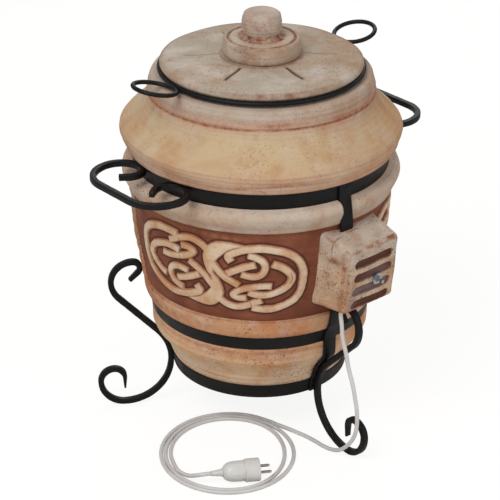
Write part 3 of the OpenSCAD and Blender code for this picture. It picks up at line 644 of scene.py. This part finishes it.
# %% Pot stains and mesh
def pot_stain(v):
    """How stained a place is, from its height and direction."""
    r, az, z = polar(v)
    g = 1.0 * near(z, 589, 2.0) + 0.35 * near(z, 603, 3)
    g = g + 0.8 * near(z, 595 + 2 * np.sin(5 * az), 4) * clamp(np.cos(az - 0.5)) \
        * (0.55 + 0.45 * np.sin(9 * az + np.sin(4 * az)))
    line = 507 + 3.5 * np.sin(3 * az + 1) + 2 * np.sin(7 * az)
    g = g + 0.6 * near(z, line, 2.6) * (0.6 + 0.4 * np.sin(5 * az + 2))
    g = g + 0.35 * near(z, 517, 8) * clamp(np.sin(4 * az + 0.6))
    for at, much in ((426, 0.5), (254, 0.55), (450, 0.15), (526, 0.25), (221, 0.5), (496, 0.35)):
        g = g + much * near(z, at, 2.4)
    g = g + 0.16 * (z < 194) * (0.5 + 0.5 * np.sin(z * 2 * np.pi / 11 + np.sin(az + 1)))
    g = g + 0.45 * near(z, 186, 8) * (0.55 + 0.45 * np.sin(2 * az + 2.2)) + 0.25 * (z < 112)
    g = g + 0.5 * near(z, 236, 10) * (0.5 + 0.5 * np.sin(2 * az - 2.4))
    inside = (z > 128) & (z < 612) & (r < np.interp(z, [128, 300, 590], [140, 168, 150]))
    return np.where(inside, 0.75, clamp(g))


def cracks(v, lines):
    """1 on hairlines given as lists of (direction in degrees, height), else 0."""
    _, az, z = polar(v)
    places = np.degrees(az) * MM_PER_DEG, z
    return clamp(1.3 - np.min([to_line(places, np.array(line) * [MM_PER_DEG, 1]) for line in lines],
                              axis=0) / 0.7)


pot = piece("pot_wall", verts, faces, CLAY, "oven", ("clay_body",),
            {"stain": pot_stain(verts), "crack": cracks(verts, [[(-6, 252), (-5, 240), (-6.5, 232)]])},
            slot="fired_clay")
pot.data.materials.append(CLAY_DOME)
high = np.array([np.mean([verts[k][2] for k in f]) for f in faces]) > 495
pot.data.polygons.foreach_set("material_index", high.astype(np.int32))
print("pot wall with two clays")

# %% [markdown]
# ## The carved panels
# Three panels lie in the sunk band. Each carries the same traditional interlaced knot, left standing
# when the ground was cut away. The knot is two halves alike, one turned half round. A half is a list of
# strokes in millimetres, u to the right and v up from the middle, with a width for each stroke.

# %% Knot strokes
KNOT = [
    (14.5, [(33, 27), (27, 38), (44, 48), (62, 54), (84, 56), (106, 51), (126, 43), (142, 31),
            (151, 12), (152, -8), (150, -28), (140, -45), (124, -55), (104, -61), (84, -61),
            (64, -58)]),
    (13.5, [(24, 4), (42, 14), (56, 21), (73, 26)]),
    (13.5, [(60, 43), (74, 39), (84, 32), (88, 21), (84, 10), (74, 4), (61, 3), (47, 6)]),
    (14, [(-2, 26), (9, 11), (19, -1), (29, -8), (45, -17)]),
    (14, [(99, 27), (114, 20), (125, 12), (133, 0), (130, -12), (121, -22), (106, -29), (90, -33),
          (74, -32), (60, -28)]),
    (13, [(100, -16), (86, -15), (71, -17), (56, -21), (43, -27), (33, -36), (43, -41), (58, -40)]),
    (13.5, [(-4, -36), (8, -45), (19, -54), (33, -59), (46, -58), (60, -53), (71, -48), (84, -43)]),
]
WEB = [(0, 0, 9), (4, -9, 14), (6, -22, 19), (3, -36, 27), (-7, -48, 28), (-24, -55, 17),
       (-42, -58, 8), (-54, -58, 4)]
CRACK_LINES = [[(-37.5, 396), (-36.8, 380), (-37.6, 366), (-36.6, 353)],
               [(13, 352), (13.8, 341), (13.2, 333)], [(-4.8, 296), (-4.2, 288), (-4.9, 279)]]
RISE, SLAB, PANEL_Z, KNOT_Z = 4.0, 4.6, (254.6, 425.4), 342
PANEL_ROWS, PANEL_STEP = 132, 1.3


def stroke_depth(u, v, points, width):
    """How far inside a stroke a place is: half the width less the distance to its curve.
    Past a square end the distance along the end counts instead."""
    P = eased(points, 3.0)
    inside = width / 2 - to_line((u, v), P)
    for end, nxt in ((P[0], P[2]), (P[-1], P[-3])):
        way = unit(nxt - end)
        close = np.hypot(u - end[0], v - end[1]) < width
        past = (u - end[0]) * way[0] + (v - end[1]) * way[1]
        inside = np.where(close, np.minimum(inside, past), inside)
    return inside


def web_depth(u, v):
    """The same for the leaf between the halves: discs whose widths blend along a curve."""
    P = eased([(a, b, w / 2) for a, b, w in WEB], 3.0)
    return np.max([w - np.hypot(u - a, v - b) for a, b, w in P], axis=0)


def knot_depth(u, v):
    """Inside every half stroke and its half-turn: depth is positive in the relief."""
    out = -np.inf
    for s in (1, -1):
        for width, points in KNOT:
            out = np.maximum(out, stroke_depth(s * u, s * v, points, width))
        out = np.maximum(out, web_depth(s * u, s * v))
    return out


def panel(name, low_az, high_az, middle_az, seed):
    """A slab between two directions, its outer face carrying the knot: radius = ground + RISE where
    the depth is positive + tool marks. The edge climbs over 2.4, and strokes are crowned by 0.5."""
    rows, cols = PANEL_ROWS, int((high_az - low_az) * MM_PER_DEG / PANEL_STEP)
    az = np.radians(np.linspace(low_az, high_az, cols))[None, :]
    z = np.linspace(*PANEL_Z, rows)[:, None]
    u, v = (np.degrees(az) - middle_az) * MM_PER_DEG + 0 * z, z - KNOT_Z + 0 * az
    wobble = 0.9 * np.sin(u / 17 + seed) * np.sin(v / 13 + seed)
    depth = knot_depth(u + wobble, v + 0.8 * np.cos(u / 15 + seed))
    up = smooth(clamp((depth + 0.6) / 2.4))
    ground = np.interp(z, *np.transpose(PANEL)) - PANEL_DEEP
    tool = 0.25 * np.sin(v / 2.1 + 1.5 * np.sin(u / 23)) + 0.5 * hand(az, z, seed + 2)
    r = ground + up * (RISE + clamp(depth / 6) * 0.5 - 0.5) + tool * (1 - 0.6 * up)
    verts = np.concatenate([toward(r, az, z), toward(ground + 0 * az - SLAB, az, z)]).reshape(-1, 3)
    i, k = np.meshgrid(np.arange(rows - 1), np.arange(cols - 1), indexing="ij")
    a = i * cols + k
    face = np.stack([a, a + 1, a + cols + 1, a + cols], -1).reshape(-1, 4)
    rim = np.concatenate([np.arange(cols), np.arange(1, rows) * cols + cols - 1,
                          (rows - 1) * cols + np.arange(cols - 2, -1, -1),
                          np.arange(rows - 2, 0, -1) * cols])
    nxt = np.roll(rim, -1)
    sides = np.stack([rim, rim + rows * cols, nxt + rows * cols, nxt], -1)
    faces = face.tolist() + (face[:, ::-1] + rows * cols).tolist() + sides.tolist()
    # one of these numbers is painted shade, on the ground just outside each stroke
    marks = {"raised": clamp((depth + 0.9) / 1.6), "stain": near(depth, 0.2, 1.6) * (depth < 3),
             "foot_shade": near(depth, -1.6, 2.2) * (depth < 0),
             "smear": near(v, 72 - u / 14, 4) * near(u, 22, 40) * (0.6 + 0.4 * np.sin(u / 3))}
    marks = {key: np.concatenate([value, 0 * value]) for key, value in marks.items()}
    marks["crack"] = cracks(verts, CRACK_LINES)
    return piece(name, verts, faces, PANEL_PAINT, "oven", (), marks, slot="fired_clay")


# each panel: from and to in degrees, the knot's middle, and the seed of its small waves
PANELS = {"front": (-78 + STRIP_HALF, 42, -21.3, 1), "right": (42.02, 162 - STRIP_HALF, 98.7, 5),
          "rear": (162 + STRIP_HALF, 282 - STRIP_HALF, 218.7, 9)}
panels = [panel("panel_" + side, *values) for side, values in PANELS.items()]
print("panels:", [len(p.data.polygons) for p in panels])

# %% [markdown]
# ## The lids
# The main lid is a thick disc with a lip over the rod that holds it, and six cut lines from its middle.
# Its grid is turned, and it is finer in angle near each cut, so that the cuts have clean walls.

# %% Main lid
VENT_R, LID_R, LIP_R = 42, 164, 168
CUTS, CUT_WIDE = [-28 + 60 * k for k in range(6)], (1.5, 1.8, 0.8, 1.1, 1.1, 0.8)
LID_LOOP = dense([(VENT_R, 607.4), (VENT_R + 0.5, 607), (122.5, 607), (123.6, 607.4), (125, 609),
                  (125, 619), (163.4, 619), (LID_R, 619.5), (LID_R, 631), (167.2, 631.8)], 4)
LID_LOOP = np.vstack([LID_LOOP, eased([(167.2, 631.8), (168, 633.6), (167.9, 636.4), (166.6, 638.7),
                      (163.8, 640.1), (159, 641), (150, 642.1), (130, 643.3), (100, 645), (72, 646.6),
                      (60, 646.8), (46, 646.8), (43, 646.3), (VENT_R, 645)], 1.7)[1:],
                      dense([(VENT_R, 645), (VENT_R, 611)], 6)[1:]])
lid_az = np.radians(np.unique(np.round(np.concatenate(
    [np.arange(0, 360, 2.0)] + [(c + np.arange(-3, 3.01, 0.25)) % 360 for c in CUTS]), 3)))


def lid_shape():
    """Height = outline + waves of the hand on top, less 2 in a cut. A cut is a wavering line from
    radius 70 to 128, and its floor is about twice its CUT_WIDE across."""
    r = LID_LOOP[:, :1] + 0 * lid_az
    z = LID_LOOP[:, 1:] + 0 * lid_az
    top = (LID_LOOP[:, 1:] > 639) & (LID_LOOP[:, :1] > 45)
    rim = (LID_LOOP[:, 1:] > 631.5) & (LID_LOOP[:, :1] > 155)
    cut = np.zeros(r.shape)
    for n, c in enumerate(CUTS):
        q = lid_az - np.radians(c)
        side = r * np.sin(q) + 0.5 * np.sin(r / 8 + n)
        across = clamp(1.9 - np.abs(side) / 1.2 / CUT_WIDE[n])
        along = clamp((r - 70) / 3) * clamp((128 - r) / 8)
        cut = np.maximum(cut, across * along * (np.cos(q) > 0.8))
    z = z - 2.0 * cut * top + top * 0.5 * hand(lid_az[None, :], r / 3, 31)
    r = np.minimum(r + rim * 0.7 * hand(lid_az[None, :], z, 33), LIP_R + 0.3)
    return r, z, cut * top


r, z, cut = lid_shape()
verts = toward(r, lid_az[None, :], z).reshape(-1, 3)
faces = ring_faces(*r.shape, close=True)
rr, az, zz = polar(verts)
by_cuts = clamp(sum(near(apart(np.degrees(az), c), 0, 5) for c in CUTS[:2]))
stain = 0.65 * near(rr, 166, 5) * (zz > 630) * (0.6 + 0.4 * np.sin(3 * az + 1)) \
    + 0.5 * near(rr, 67, 4) * (zz > 640) + 0.35 * near(rr, 108, 26) * by_cuts
piece("lid_disc", verts, faces, CLAY_LID_SHADED, "lid", ("main_lid",),
      {"stain": clamp(stain), "crack": cut}, slot="fired_clay")
print("lid:", len(faces), "faces")

# %% Vent lid and knob
KNOB = [(0, 623), (36.5, 623), (37.6, 623.4), (39.4, 625.4), (40, 627), (40, 646.6), (40.3, 647),
        (60.6, 647), (62.2, 647.6), (63.4, 649), (64, 651), (64, 671), (63.6, 673.2), (62.4, 675),
        (60, 676), (58.4, 676.3), (57.3, 675.9), (56.4, 673.8), (55, 673.2), (53.6, 673.8),
        (52.7, 675.9), (51.4, 676.6), (44, 677), (37, 677.3), (33.6, 678.2), (31.4, 680), (30.4, 682),
        (30.3, 684.4), (31, 687.6), (32.4, 691), (33, 694), (33.1, 697), (32.8, 702), (32.2, 707),
        (31.3, 712), (30, 715.6), (28, 718), (25.4, 719.4), (22, 720), (10, 720), (0, 720)]


def thrown(q, z, r):
    """Hand waves of 0.6, and rings of the turning 0.3 high and 6 apart."""
    out = 0.6 * hand(q, z, 41) + 0.25 * np.sin(z * 2 * np.pi / 6 + np.sin(q))
    return out * (z > 648) * (r > 12) * np.where(r > 60, 0.6, 1)


verts, faces = turned(dense(KNOB, 1.6), 200, thrown)
rr, az, zz = polar(verts)
stain = near(rr, 55, 3) * (zz > 672) + 0.95 * near(zz, 682, 4) * (rr < 40) \
    + 0.5 * near(zz, 651, 4) + 0.7 * near(rr, 37, 4) * (zz > 675) + 0.3 * (zz < 645) \
    + 0.7 * near(zz, 664, 9) * near(az, -0.35, 0.25) * (rr > 55) \
    + 0.3 * near(zz, 700, 7) * clamp(np.sin(3 * az + 2)) + 0.5 * near(rr, 62, 2.4) * (zz > 668)
piece("vent_lid", verts, faces, CLAY_LID_SHADED, "vent", ("vent_plug",), {"stain": clamp(stain)},
      slot="fired_clay")
print("vent lid:", len(faces), "faces")

# %% [markdown]
# ## The forged frame
# Hoops are flat bar with eased edges. Straps follow the pot. Legs and handles are square bar bent in
# one plane, so each is a section carried along a run of arcs.

# %% Hoops and rods
WELD = 0.3
ROD_R, ROD_D, ROD_Z = 168, 8, 626
RING_R, RING_D, RING_TILT = 35, 7.5, 12


def steel(name, node, verts, faces, body="oven"):
    """A piece of the frame in its paint."""
    return piece(name, verts, faces, PAINT, body, (node,), slot="black_paint")


def hoop(name, node, seat):
    """Flat bar 4 thick bent to a ring: edges eased by 0.9, waves of about 0.1 from the hammer."""
    z0, h, r0, r1 = seat
    e = 0.9
    loop = [(r0 - 4, z0 + e), (r0 - 4 + e, z0), (r0 - e, z0), (r0 - 0.25, z0 + 0.25), (r0, z0 + e)]
    loop += [(r0 + (r1 - r0) * t, z0 + h * t) for t in (0.2, 0.4, 0.6, 0.8)]
    loop += [(r1, z0 + h - e), (r1 - 0.25, z0 + h - 0.25), (r1 - e, z0 + h), (r1 - 4 + e, z0 + h),
             (r1 - 4, z0 + h - e)]
    verts, faces = turned_loop(loop, 240)
    r, q = np.hypot(verts[:, 0], verts[:, 1]), np.arctan2(verts[:, 1], verts[:, 0])
    verts[:, :2] *= (1 + 0.12 * hand(q, verts[:, 2], int(z0)) / r)[:, None]
    steel(name, node, verts, faces)


def rod_ring(name, node, radius, rod, at, tilt=0.0, az=0.0):
    """A round rod bent to a ring: tilted, moved to (radius, height), turned to a direction."""
    q = np.arange(20) * 2 * np.pi / 20
    verts, faces = turned_loop(np.stack([radius + rod / 2 * np.cos(q), rod / 2 * np.sin(q)], -1), 144)
    c, s = way_of(tilt)
    x, y, z = verts.T
    verts = np.stack([c * x - s * z + at[0], y, s * x + c * z + at[1]], -1)
    steel(name, node, stood(verts, az), faces, "lid")


hoop("hoop_top", "top_hoop", SEATS[2])
hoop("hoop_middle", "mid_hoop", SEATS[1])
hoop("hoop_bottom", "bottom_hoop", SEATS[0])
rod_ring("lid_rod", "lid_hoop", ROD_R, ROD_D, (0, ROD_Z))
ring_at = np.array([ROD_R + ROD_D / 2 - WELD + RING_D / 2, ROD_Z]) + RING_R * way_of(RING_TILT)
for side, az in (("left", -54), ("right", 131)):
    rod_ring("ring_" + side, "lid_ring_" + side, RING_R, RING_D, ring_at, RING_TILT, az)
print("hoops and rods: 6")

# %% Bars carried along arcs
def turn(c, radius, a0, a1):
    """Points and headings along an arc round c, from angle a0 to a1 in degrees, 4 at a time."""
    n = max(2, int(math.ceil(abs(a1 - a0) / 4)))
    a = np.radians(a0 + (a1 - a0) * np.arange(n + 1) / n)
    p = np.array(c, float) + radius * np.stack([np.cos(a), np.sin(a)], -1)
    return p, np.degrees(a) + (90 if a1 > a0 else -90)


def run_on(p, heading, length):
    """A straight run from the last point along its heading, in four parts."""
    return p + np.arange(1, 5)[:, None] / 4 * length * way_of(heading), np.full(4, heading, float)


def joined(*runs):
    """Runs of points and headings as one, without doubles, cut so that no step is over 9 long."""
    P, H = np.vstack([r[0] for r in runs]), np.concatenate([r[1] for r in runs])
    keep = np.concatenate([[True], np.linalg.norm(np.diff(P, axis=0), axis=1) > 0.05])
    P, H = P[keep], H[keep]
    out_p, out_h = [P[:1]], [H[:1]]
    for a, b, h in zip(P[:-1], P[1:], H[1:]):
        n = max(1, int(np.linalg.norm(b - a) / 9))
        out_p.append(a + (b - a) * (np.arange(1, n + 1) / n)[:, None])
        out_h.append(np.full(n, h))
    return np.vstack(out_p), np.concatenate(out_h)


def flat_bar(P, H, w, t, tips=(1, 1), taper=16, ease=1.3, seed=0):
    """A section w across and t thick, its corners rounded by ease, carried along a flat run: across
    the run in its plane, thick along local Y. Towards each end its width shrinks to a share over
    the taper, and hammer marks swell it by up to 2 parts in 100."""
    q = np.radians(np.linspace(0, 90, 4))
    S = np.vstack([np.stack([sx * (w / 2 - ease) + ease * np.cos(q + math.radians(a)),
                             sy * (t / 2 - ease) + ease * np.sin(q + math.radians(a))], -1)
                   for sx, sy, a in ((1, 1, 0), (-1, 1, 90), (-1, -1, 180), (1, -1, 270))])
    way = np.concatenate([[0], np.cumsum(np.linalg.norm(np.diff(P, axis=0), axis=1))])
    scale = np.minimum(tips[0] + (1 - tips[0]) * clamp(way / taper),
                       tips[1] + (1 - tips[1]) * clamp((way[-1] - way) / taper))
    marks = 1 + 0.012 * np.sin(way / 5.3 + seed) + 0.010 * np.sin(way / 2.9 + 2 * seed)
    c, s = np.cos(np.radians(H))[:, None], np.sin(np.radians(H))[:, None]
    a = S[None, :, 0] * (scale * marks)[:, None]
    rings = np.stack([P[:, :1] - a * s, S[None, :, 1] * marks[:, None], P[:, 1:] + a * c], -1)
    point = 0.8 * np.hstack([c, 0 * c, s])
    ends = [rings[0].mean(0) - point[0], rings[-1].mean(0) + point[-1]]
    return np.vstack([rings.reshape(-1, 3), *ends]), capped(len(P), len(S))


# %% Legs
BAR, FOOT_CUT = 10, 0.45
LEG_TOP = np.array([214.9, 240.0])
TOP_R, BEND_R, CURL_R, FOOT_R, HEEL_R, TOE_R = 43, 38, 12, 42, 24, 18


def leg(name, node, az, out, seed):
    """Foot curl, long lower arc, straight run, big upper arc, and a curl that turns back in. The
    lower arc has the radius with which the bar touches the bottom hoop and stands on the floor."""
    _, h, r0, r1 = SEATS[0]
    touch = r0 + (r1 - r0) * 4 / h - WELD + BAR / 2
    top, end = LEG_TOP + [out, 0], LEG_TOP + TOP_R * way_of(-45)
    R = (end[1] - end[0] + touch - BAR / 2 + FOOT_CUT) / math.sqrt(2)
    low = np.array([touch + R + out, R + BAR / 2 - FOOT_CUT])
    bend = top + [5, 0]
    curl = bend + [0, BEND_R - CURL_R]
    foot = low - [0, R - FOOT_R]
    heel = foot + [FOOT_R - HEEL_R, 0]
    toe = heel + [0, HEEL_R - TOE_R]
    tip, last = turn(toe, TOE_R, 180, 90), turn(curl, CURL_R, 90, 225)
    P, H = joined((run_on(tip[0][0], 270, 20)[0][::-1], np.full(4, 90.0)), tip,
                  turn(heel, HEEL_R, 90, 0), turn(foot, FOOT_R, 0, -90), turn(low, R, 270, 135),
                  turn(top, TOP_R, -45, 0), turn(bend, BEND_R, 0, 90), last,
                  run_on(last[0][-1], last[1][-1], 20))
    verts, faces = flat_bar(P, H, BAR, BAR, tips=(0.32, 0.65), taper=32, seed=seed)
    verts[:, 2] = np.maximum(verts[:, 2], 0)
    steel(name, node, stood(verts, az), faces)


leg("leg_front_bar", "leg_front", 38, out=4, seed=1)
leg("leg_left_bar", "leg_left", -82, out=0, seed=2)
leg("leg_rear_bar", "leg_rear", 158, out=0, seed=3)


# %% Handles
HANDLE_Z, HANDLE_FRONT, HANDLE_HALF, SHOULDER_R, END_R = 486, 306, 94, 38, 24


def handle(name, node, az, seed):
    """A level bow: straight front, two round shoulders, and an inward curl that touches the hoop.
    One half is drawn from the middle outwards, and the other is its mirror image."""
    beside = HANDLE_HALF - SHOULDER_R
    cx = math.sqrt((SEATS[2][2] + BAR / 2 - WELD + SHOULDER_R) ** 2 - beside ** 2)
    touch = math.degrees(math.atan(beside / cx))
    R = HANDLE_FRONT - cx
    c2 = np.array([cx, beside])
    last = turn(c2 - (SHOULDER_R - END_R) * way_of(touch), END_R, 180 + touch, 305)
    P, H = joined(turn((cx, HANDLE_HALF - R), R, 0, 90), turn(c2, SHOULDER_R, 90, 180 + touch),
                  last, run_on(last[0][-1], last[1][-1], 16))
    P, H = joined((np.vstack([P[::-1] * [1, -1], P]), np.concatenate([180 - H[::-1], H])))
    verts, faces = flat_bar(P, H, BAR, BAR, tips=(0.85, 0.85), taper=14, seed=seed)
    x, y, z = verts.T
    steel(name, node, stood(np.stack([x, z, HANDLE_Z - y], -1), az), faces)


handle("handle_left_bar", "handle_left", -49.5, seed=4)
handle("handle_right_bar", "handle_right", 130.5, seed=6)


# %% Straps
STRAP_W, STRAP_T = 25, 4
STRAP = np.array([(214.7, 494), (214.7, 466), (221, 428), (222.2, 420), (201.9, 252), (199.6, 239),
                  (197.9, 230), (194, 221), (190.2, 218.5), (186.4, 196), (187, 178), (185.6, 165),
                  (179, 154), (169, 141.5), (159, 121), (155.1, 107.2), (153.6, 105.4), (150.8, 83)])


def strap(name, node, az, seed):
    """Flat bar outside the listed inner face, its bends rounded over 3 or less. The bar's middle
    is half its thickness out, along the mean of the two runs that meet in a corner."""
    d = unit(np.diff(STRAP, axis=0))
    nrm = np.stack([-d[:, 1], d[:, 0]], -1)
    a, b = np.vstack([nrm[:1], nrm]), np.vstack([nrm, nrm[-1:]])
    mid = STRAP + (a + b) * STRAP_T / 2 / (1 + (a * b).sum(1))[:, None]
    fine = [mid[0]]
    for p, q, r in zip(mid[:-2], mid[1:-1], mid[2:]):
        reach = min(3.0, 0.4 * np.linalg.norm(q - p), 0.4 * np.linalg.norm(r - q))
        u, w = q + unit(p - q) * reach, q + unit(r - q) * reach
        fine += [u, (u + 2 * q + w) / 4, w]
    P = np.array(fine + [mid[-1]])
    way = np.gradient(P, axis=0)
    P, H = joined((P, np.degrees(np.arctan2(way[:, 1], way[:, 0]))))
    verts, faces = flat_bar(P, H, STRAP_T, STRAP_W, ease=0.9, seed=seed)
    steel(name, node, stood(verts, az), faces)


strap("strap_front_bar", "strap_front", 38, seed=1)
strap("strap_rear_bar", "strap_rear", 218, seed=2)
print("bars: 7")

# %% [markdown]
# ## The terminal box
# A hollow clay cover, slab built by hand. It starts as a box grid whose edges are rounded by keeping a
# fixed distance from an inner box; then it tapers towards its face, and four flat slots are pressed in.

# %% Terminal cover
BOX_AZ, BOX_TILT, BOX_R, BOX_Z = 42.3, 5.4, 198, 348
BOX_D, BOX_W, BOX_H, BACK_W, BACK_H, BACK = 71, 113, 115, 126, 143, 12
SLOTS = [-8 + 25.5 * k for k in (-1.5, -0.5, 0.5, 1.5)]
ROUND, SLOT_HALF, SLOT_R, SLOT_DEEP = 9.0, 34, 8, 4.6


def box_grid(nx, ny, nz):
    """The surface of a unit cube from -1 to 1, cut into cells, its edges shared."""
    pts, faces = [], []
    for axis, (na, nb) in ((0, (ny, nz)), (1, (nz, nx)), (2, (nx, ny))):
        for s in (-1, 1):
            a, b = np.meshgrid(np.linspace(-1, 1, na + 1), np.linspace(-1, 1, nb + 1), indexing="ij")
            p = np.zeros(a.shape + (3,))
            p[..., axis], p[..., (axis + 1) % 3], p[..., (axis + 2) % 3] = s, a, b
            base = sum(len(q) for q in pts)
            i, k = np.meshgrid(np.arange(na), np.arange(nb), indexing="ij")
            f = base + i * (nb + 1) + k
            f = np.stack([f, f + nb + 1, f + nb + 2, f + 1], -1).reshape(-1, 4)
            faces.append(f if s > 0 else f[:, ::-1])
            pts.append(p.reshape(-1, 3))
    pts = np.vstack(pts)
    _, first, back = np.unique(np.round(pts, 6), axis=0, return_index=True, return_inverse=True)
    return pts[first], back.ravel()[np.vstack(faces)]


def in_box_frame(v):
    """From the box's own frame (x out of its face) to the oven's."""
    t = math.radians(BOX_TILT)
    x, y, z = v.T
    x, z = math.cos(t) * x + math.sin(t) * z, -math.sin(t) * x + math.cos(t) * z
    return stood(np.stack([x + BOX_R, y, z + BOX_Z], -1), BOX_AZ)


def cover():
    """Distance-rounded box, tapered from back to face, with slots about 5 deep and hand waves.
    Also gives each point's share of a slot and of a slot's lip, and its direction outwards."""
    g, faces = box_grid(76, 100, 104)
    half = np.array([BOX_D + BACK, BOX_W, BOX_H]) / 2
    p = g * half
    core = np.clip(p, -(half - ROUND), half - ROUND)
    n = p - core
    n /= np.maximum(np.linalg.norm(n, axis=1), 1e-9)[:, None]
    p = core + n * ROUND
    x = p[:, 0] + (BOX_D - BACK) / 2
    t = clamp((BOX_D - x) / (BOX_D + BACK))
    y = p[:, 1] * (1 + t * (BACK_W / BOX_W - 1))
    z = p[:, 2] * (1 + t * (BACK_H / BOX_H - 1))
    wave = hand(np.arctan2(y, z), x / 2, 51) * 0.8 + 0.5 * np.sin(y / 9 + 1) * np.sin(z / 11 + 2)
    x = x - clamp(n[:, 0]) * (0.5 + 0.45 * np.sin(y / 14 + 1) * np.cos(z / 12))
    y = y + n[:, 1] * (wave - 0.6) * 0.8
    z = z + n[:, 2] * (wave - 0.6) * 0.8
    slot = np.zeros(len(x))
    for k, s in enumerate(SLOTS):
        w = z - s + 0.7 * np.sin(y / 13 + k)
        u = np.maximum(np.abs(y + 0.6 * np.sin(k * 2)) - SLOT_HALF, 0)
        slot = np.maximum(slot, clamp((SLOT_R - np.hypot(u, w) + 0.8) / 2.6) * (n[:, 0] > 0.7))
    slot = smooth(slot)
    x = x - slot * (SLOT_DEEP + 0.4 * np.sin(y / 7) * np.sin(z / 3))
    return np.stack([x, y, z], -1), faces, slot, slot * (1 - slot) * 4, n


v, faces, slot, lip, n = cover()
x, y, z = v.T
worn_edge = np.clip(1.2 - np.abs(n).max(1), 0, 0.5) * 1.9
left = n[:, 1] < -0.5
stain = 0.6 * lip + worn_edge * clamp(0.45 + 0.6 * np.sin(x / 9 + y / 13) * np.cos(z / 11 + y / 17)) \
    + 0.8 * near(y, 56, 6) * (n[:, 0] > 0.3) \
    + 0.9 * near(z, 56, 4) * (n[:, 0] > 0.1) * clamp(0.5 + y / 60) \
    + left * (0.8 * near(z, 30, 8) * near(x, 34, 14) + 0.5 * near(z, -25, 22) * near(x, 28, 12)
              + 0.45 * near(x, 60, 5))
smear = slot * near(z, -22, 9) * 0.9 + slot * near(z, 3, 8) * near(y, 20, 30) * 0.7 \
    + 0.8 * (n[:, 0] > 0.7) * near(y, -42, 12) * near(z, -40, 22)
CRACK = np.array([(32, 43, 65), (28, 20, 65.5), (24, -4, 66), (27, -25, 66), (30, -45, 65),
                  (32, -59, 62), (31, -60, 40), (28, -61, 10), (30, -61, -20), (34, -61, -55),
                  (36, -60, -64)])
piece("box_cover", in_box_frame(v), faces.tolist(), CLAY_BOX, "oven", ("terminal_cover",),
      {"stain": clamp(stain), "crack": clamp(1.4 - to_line(v.T, CRACK) / 1.1),
       "slot": clamp(slot * 1.4), "smear": clamp(smear)}, slot="fired_clay")
print("box cover:", len(faces), "faces")

# %% [markdown]
# ## Pieces that keep their solid
# The nut, washer, stud, heaters, ceramic block and other small parts have the right shape in the solid
# model already. They stay, and get their finishes here.

# %% Finishes on the kept solids
KEPT = {ZINC: ("cover_stud", "cover_washer", "cover_nut", "mounting_plate", "heater_clips"),
        STEATITE: ("terminal_block",), BRASS: ("terminal_screws",),
        ELEMENT: ("heater_lower", "heater_upper"), RUBBER: ("cord_relief",), PVC: ("inner_cable",),
        PAINT: ("base_cross",)}
for material, nodes in KEPT.items():
    for node in nodes:
        me = frame["nodes"][node].data
        me.materials.clear()
        me.materials.append(material)
print("kept solids:", sum(len(n) for n in KEPT.values()))

# %% [markdown]
# ## Floor and light
# The photograph has a plain white ground and soft light from above the camera, a little from the left.
# The floor is pale; rays that come straight from the camera see it, and the world, as white.

# %% Floor, lamps and world
def camera_sees(tree, seen, other):
    """One shader for rays that come straight from the camera, the other for all the rest."""
    direct = add(tree, "ShaderNodeLightPath").outputs["Is Camera Ray"]
    return add(tree, "ShaderNodeMixShader", {0: direct, 1: other, 2: seen}).outputs[0]


def plain_floor():
    """A floor 18 metres square, for the camera a blend of pale paint and white light."""
    me = bpy.data.meshes.new("floor")
    me.from_pydata([(-9, -9, 0), (9, -9, 0), (9, 9, 0), (-9, 9, 0)], [], [(0, 1, 2, 3)])
    o = bpy.data.objects.new("floor", me)
    bpy.context.scene.collection.objects.link(o)
    m = bpy.data.materials.new("pale studio floor")
    t = empty_tree(m)
    glow = add(t, "ShaderNodeEmission", {"Color": "#FFFFFF", "Strength": 1.1}).outputs[0]
    flat = add(t, "ShaderNodeBsdfDiffuse", {"Color": "#E4E1DC"}).outputs[0]
    both = add(t, "ShaderNodeMixShader", {0: 0.80, 1: flat, 2: glow}).outputs[0]
    add(t, "ShaderNodeOutputMaterial", {"Surface": camera_sees(t, both, flat)})
    me.materials.append(m)


def lamp(name, place, aim, size, power):
    """A square soft light at a place in metres, turned towards aim."""
    d = bpy.data.lights.new(name, "AREA")
    d.shape, d.size, d.energy = "SQUARE", size, power
    back = unit(np.array(place, float) - np.array(aim, float))
    right = unit(np.cross([0, 0, 1], back))
    placed(name, d, right, np.cross(back, right), back, place)


plain_floor()
lamp("key", (-1.3, -2.0, 2.9), aim=(0, 0, 0.35), size=1.8, power=62)
lamp("fill", (2.4, -1.8, 1.6), aim=(0, 0, 0.3), size=2.2, power=22)
lamp("back", (0.4, 2.6, 2.4), aim=(0, 0, 0.4), size=2.0, power=26)
world = bpy.data.worlds.new("studio")
bpy.context.scene.world = world
t = empty_tree(world)
room = add(t, "ShaderNodeBackground", {"Color": "#F2F2F2", "Strength": 0.42}).outputs[0]
white = add(t, "ShaderNodeBackground", {"Color": "#FFFFFF", "Strength": 1.0}).outputs[0]
add(t, "ShaderNodeOutputWorld", {"Surface": camera_sees(t, white, room)})
bpy.context.scene.view_settings.view_transform = "Standard"
print("stage set")
